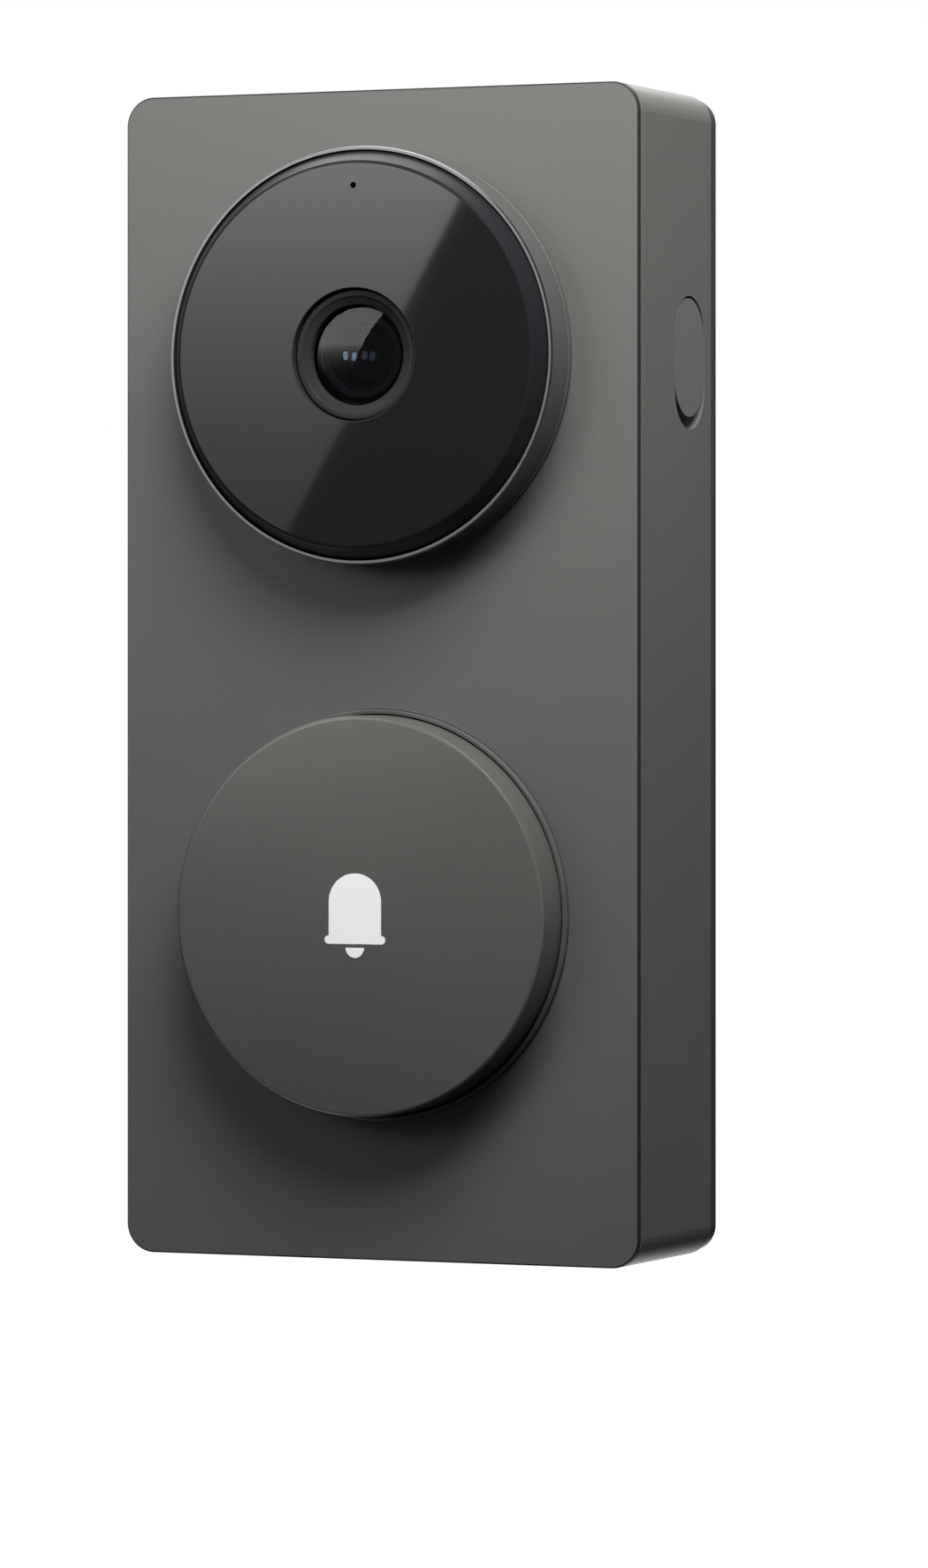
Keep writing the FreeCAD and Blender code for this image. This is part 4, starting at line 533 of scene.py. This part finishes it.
work = turned((
    (SPIGOT_INSIDE, bezel_rear),
    (SPIGOT_OUTSIDE, bezel_rear),
    (SPIGOT_OUTSIDE, front_y - SKIN),
    (bezel_radius, front_y - SKIN),
    (bezel_radius, front_y - FLANGE),
    (bezel_radius - STEP_IN, front_y - FLANGE - FLANGE_SLOPE),
    (bezel_radius - STEP_IN, bezel_front + RIM_CHAMFER),
    (bezel_radius - RIM_CHAMFER, bezel_front),
    (bezel_radius - RIM, bezel_front),
    (bezel_radius - RIM, bezel_front + COVER_SEAT),
    (SPIGOT_INSIDE, bezel_front + COVER_SEAT),
), camera_z)
for face in work.faces:
    middle = face.calc_center_median()
    outwards = math.hypot(middle.x, middle.z - camera_z)
    if middle.y < bezel_front + CUT_DEEP and outwards > bezel_radius - CUT_WIDE:
        face.material_index = 1
finished("camera_bezel_ring", work, "doorbell", "bezel_metal", bezel_finish, rim_finish,
         replaced=("camera_bezel",))

# ------------------------------------------------------------------ camera cover
# Smoked polished plastic that lets infrared through, seated in the bezel on a foam seal.
# A satin bevel rises to its flat face, which has an eye for the lens and a pinhole for the microphone.
cover_low, cover_high = (Vector(c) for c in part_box("camera_cover"))
cover_radius = (cover_high.x - cover_low.x) / 2
EYE = 7.9 * MM
cover_finish = Finish("smoked_cover", Base_Color=(0.004, 0.004, 0.0045, 1), IOR=1.49, Coat_Weight=1.0,
                      Coat_Roughness=0.02, Specular_IOR_Level=0.8)
smear = cover_finish.noise(9 * MM, 3)
cover_finish.set("Roughness", smear * 0.03 + 0.02)
crest = cover_low.y
SEAT_WIDE = 2.0 * MM
BEVEL_FOOT = 0.25 * MM
BEVEL_IN = 1.25 * MM
BEVEL_DROP = 0.15 * MM
FACE_IN = 1.6 * MM
FACE_DROP = 0.02 * MM
EYE_DEEP = 3.4 * MM
HOLLOW_IN = 3.0 * MM
HOLLOW_DEEP = 3.0 * MM
COVER_ROUND = 0.12 * MM
work = turned((
    (cover_radius - SEAT_WIDE, cover_high.y),
    (cover_radius, cover_high.y),
    (cover_radius, bezel_front + BEVEL_FOOT),
    (cover_radius - BEVEL_IN, crest + BEVEL_DROP),
    (cover_radius - FACE_IN, crest + FACE_DROP),
    (EYE, crest + FACE_DROP),
    (EYE, crest + EYE_DEEP),
    (cover_radius - HOLLOW_IN, crest + HOLLOW_DEEP),
), camera_z, sharp=COVER_ROUND)
MIC_HEIGHT = 20.1 * MM
MIC_RADIUS = 0.38 * MM
MIC_DRILL = 24 * MM
EYE_MASK = 0.13 * MM
EDGE_WIDE = 1.55 * MM
work = bored(work, [(0, camera_z + MIC_HEIGHT, MIC_RADIUS)], MIC_DRILL, around=32)
cover_edge = grained("cover_edge", (0.006, 0.006, 0.007), 0.34, 0.5 * MM, 0.002 * MM)
for face in work.faces:
    middle = face.calc_center_median()
    outwards = math.hypot(middle.x, middle.z - camera_z)
    # The eye's wall and rim take the same near-black painted shade, matt, so they stay dark and show no
    # highlight.
    if outwards < EYE + EYE_MASK:
        face.material_index = 1
    elif outwards > cover_radius - EDGE_WIDE:
        face.material_index = 2
finished("camera_cover_lens", work, "doorbell", "smoked_cover", cover_finish, edge_painted_shade, cover_edge,
         replaced=("camera_cover",))

# ------------------------------------------------------------------ lens
# A matt black turned ring lines the cover's eye.
# A clear meniscus of glass stands in it, with two coated elements in the barrel behind.
ring_low, ring_high = (Vector(c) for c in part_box("lens_ring"))
glass_low, glass_high = (Vector(c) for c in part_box("front_lens"))
glass_radius = (glass_high.x - glass_low.x) / 2
ring_radius = (ring_high.x - ring_low.x) / 2
ring_finish = grained("lens_ring_black", (0.012, 0.012, 0.012), 0.38, 0.15 * MM, 0.006 * MM)
ring_finish.set("Specular IOR Level", 0.2)
RING_BORE = 5.0 * MM
RING_EDGE = 0.15 * MM
RING_FACE = 0.8 * MM
FUNNEL_DEEP = 0.45 * MM
GLASS_FIT = 0.1 * MM
RING_ROUND = 0.08 * MM
work = turned((
    (RING_BORE, ring_high.y),
    (ring_radius, ring_high.y),
    (ring_radius, ring_low.y + RING_EDGE),
    (ring_radius - RING_EDGE, ring_low.y),
    (ring_radius - RING_FACE, ring_low.y),
    (ring_radius - RING_FACE - RING_EDGE, ring_low.y + RING_EDGE),
    (glass_radius + GLASS_FIT, ring_low.y + FUNNEL_DEEP),
    (glass_radius + GLASS_FIT, glass_high.y),
    (RING_BORE, glass_high.y),
), camera_z, sharp=RING_ROUND)
finished("lens_ring_turned", work, "doorbell", "black_plastic", ring_finish, replaced=("lens_ring",))


def dome(radius, edge_y, sag, count=28):
    """Points of a spherical cap of a sag, from its edge to the axis. It bulges towards the front."""
    sphere = (radius**2 + sag**2) / (2 * sag)
    points = []
    for i in range(count + 1):
        r = radius * math.cos(i / count * math.pi / 2)
        points.append((r, edge_y - (math.sqrt(sphere**2 - r**2) - (sphere - sag))))
    return points


clear = Finish("clear_glass", Base_Color=(0.80, 0.84, 0.92, 1), IOR=1.45, Transmission_Weight=1.0,
               Specular_IOR_Level=0.4)
clear.set("Roughness", clear.noise(4 * MM) * 0.01)
LENS_EDGE = 1.0 * MM
LENS_CROWN = 0.8 * MM
LENS_HOLLOW = 1.0 * MM
LENS_LAND = 1.0 * MM
front_edge = glass_high.y - LENS_EDGE
hollow = dome(glass_radius - LENS_LAND, glass_high.y, LENS_HOLLOW)
bulge = dome(glass_radius, front_edge, LENS_CROWN)
work = turned(hollow[::-1] + [(glass_radius, glass_high.y)] + bulge, camera_z)
finished("front_lens_glass", work, "doorbell", "lens_glass", clear, replaced=("front_lens",))

inner_low, inner_high = (Vector(c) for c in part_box("inner_lenses"))
coated = Finish("coated_glass", IOR=1.5)
bloom = coated.noise(2.5 * MM, 1)
coated.set("Base Color", coated.blend(bloom, (0.002, 0.004, 0.012), (0.008, 0.002, 0.012)))
coated.set("Roughness", bloom * 0.06 + 0.06)
element_radius = (inner_high.x - inner_low.x) / 2
ELEMENT_THICK = 1.0 * MM
ELEMENT_EDGE = 0.5 * MM
FRONT_BULGE = 0.5 * MM
REAR_BULGE = 0.6 * MM
element_rear = inner_low.y + ELEMENT_THICK
work = turned([(0, element_rear), (element_radius, element_rear)]
              + dome(element_radius, inner_low.y + ELEMENT_EDGE, FRONT_BULGE), camera_z)
rear = turned([(0, inner_high.y), (element_radius, inner_high.y)]
              + dome(element_radius, inner_high.y - ELEMENT_EDGE, REAR_BULGE), camera_z)
spare = bpy.data.meshes.new("rear_element")
rear.to_mesh(spare)
rear.free()
work.from_mesh(spare)
finished("inner_lens_elements", work, "doorbell", "lens_glass", coated, replaced=("inner_lenses",))

# ------------------------------------------------------------------ light ring and button
# A milky moulded ring stands in the plate, held from behind by its flange.
# The cap travels inside it: moulded, slightly crowned, painted graphite, and fixed on a guided carrier.
halo_low, halo_high = (Vector(c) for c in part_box("light_ring"))
milky = Finish("milky_ring", Roughness=0.3, Coat_Weight=0.4)
cloud = milky.noise(3 * MM, 2)
milky.set("Base Color", milky.blend(cloud, (0.035, 0.035, 0.034), (0.05, 0.05, 0.048)))
milky.bump(cloud, 0.01 * MM)
inner = button_radius + RING_GAP
outer = inner + RING_WALL
RING_FLANGE = 1.0 * MM
RING_FLANGE_THICK = 0.9 * MM
RING_CHAMFER = 0.2 * MM
work = turned((
    (inner, halo_high.y),
    (outer + RING_FLANGE, halo_high.y),
    (outer + RING_FLANGE, halo_high.y - RING_FLANGE_THICK),
    (outer, halo_high.y - RING_FLANGE_THICK),
    (outer, halo_low.y + RING_CHAMFER),
    (outer - RING_CHAMFER, halo_low.y),
    (inner, halo_low.y),
), button_z)
finished("light_ring_diffuser", work, "doorbell", "diffuser", milky, replaced=("light_ring",))

cap_paint = grained("cap_paint", (0.108, 0.106, 0.100), 0.30, 0.16 * MM, 0.010 * MM,
                    metallic=0.55, drift=0.08)
CROWN = 0.9 * MM
CAP_WALL = 1.6 * MM
LIP = 0.02 * MM
SKIRT_DROP = 0.5 * MM
SHOULDER_DROP = 0.2 * MM
SHOULDER_IN = 0.08 * MM
ROUND_IN = 0.3 * MM
CROWN_IN = 0.5 * MM
CROWN_RINGS = 36
rim_y = cap_low.y + CROWN
outside = [
    (button_radius - CAP_WALL, cap_high.y),
    (button_radius, cap_high.y),
    (button_radius, rim_y + SKIRT_DROP),
    (button_radius - SHOULDER_IN, rim_y + SHOULDER_DROP),
    (button_radius - ROUND_IN, rim_y + LIP),
]
inside = [
    (0, cap_low.y + CAP_WALL),
    (button_radius - CAP_WALL, rim_y + CAP_WALL),
    (button_radius - CAP_WALL, cap_high.y),
]
crown = dome(button_radius - CROWN_IN, rim_y - LIP, CROWN - LIP, CROWN_RINGS)
work = turned(outside + crown + inside, button_z)
finished("button_cap_painted", work, "button", "graphite_paint", cap_paint, replaced=("button_cap",))

# The bell sign is a light grey inlay, flush with the crown.
INLAY_DEEP = 0.45 * MM
sign_white = grained("sign_inlay", (0.56, 0.56, 0.555), 0.6, 0.3 * MM, 0.004 * MM, drift=0.03)
bell_low, bell_high = (Vector(c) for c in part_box("bell_icon"))
BELL_HALF = 3.4 * MM
BRIM = 1.0 * MM
CLAPPER_GAP = 0.43 * MM
CLAPPER_TALL = 1.44 * MM
CLAPPER_HALF = 1.2 * MM
brim_half = (bell_high.x - bell_low.x) / 2
bell_foot = bell_low.z + CLAPPER_TALL + CLAPPER_GAP


def arc(x, z, radius, start, end, count):
    """Points round a part of a circle, in degrees from +X towards +Z."""
    angles = [math.radians(start + (end - start) * i / count) for i in range(count + 1)]
    return [(x + radius * math.cos(a), z + radius * math.sin(a)) for a in angles]


body_outline = (arc(0, bell_high.z - BELL_HALF, BELL_HALF, 0, 180, 40)
                + [(-BELL_HALF, bell_foot + BRIM)]
                + arc(-brim_half + BRIM / 2, bell_foot + BRIM / 2, BRIM / 2, 90, 270, 12)
                + arc(brim_half - BRIM / 2, bell_foot + BRIM / 2, BRIM / 2, -90, 90, 12)
                + [(BELL_HALF, bell_foot + BRIM)])
clapper_outline = arc(0, bell_foot - CLAPPER_GAP, CLAPPER_HALF, 180, 360, 24)
work = bmesh.new()
for outline in (body_outline, clapper_outline):
    corners = [work.verts.new((x, cap_low.y - LIP, z)) for x, z in outline]
    face = work.faces.new(corners)
    grown = bmesh.ops.extrude_face_region(work, geom=[face])
    moved = [v for v in grown["geom"] if isinstance(v, bmesh.types.BMVert)]
    bmesh.ops.translate(work, vec=(0, INLAY_DEEP, 0), verts=moved)
finished("bell_sign_inlay", work, "button", "sign_white", sign_white, replaced=("bell_icon",))

# ------------------------------------------------------------------ port cover
# A soft grey silicone flap covers the charging port; the real one bends along its upper end to open.
# It is moulded with a plug that fills the pocket, and a fingernail notch lies below it.
silicone = grained("grey_silicone", (0.072, 0.071, 0.069), 0.6, 0.3 * MM, 0.01 * MM)
dress("port_cover", silicone)
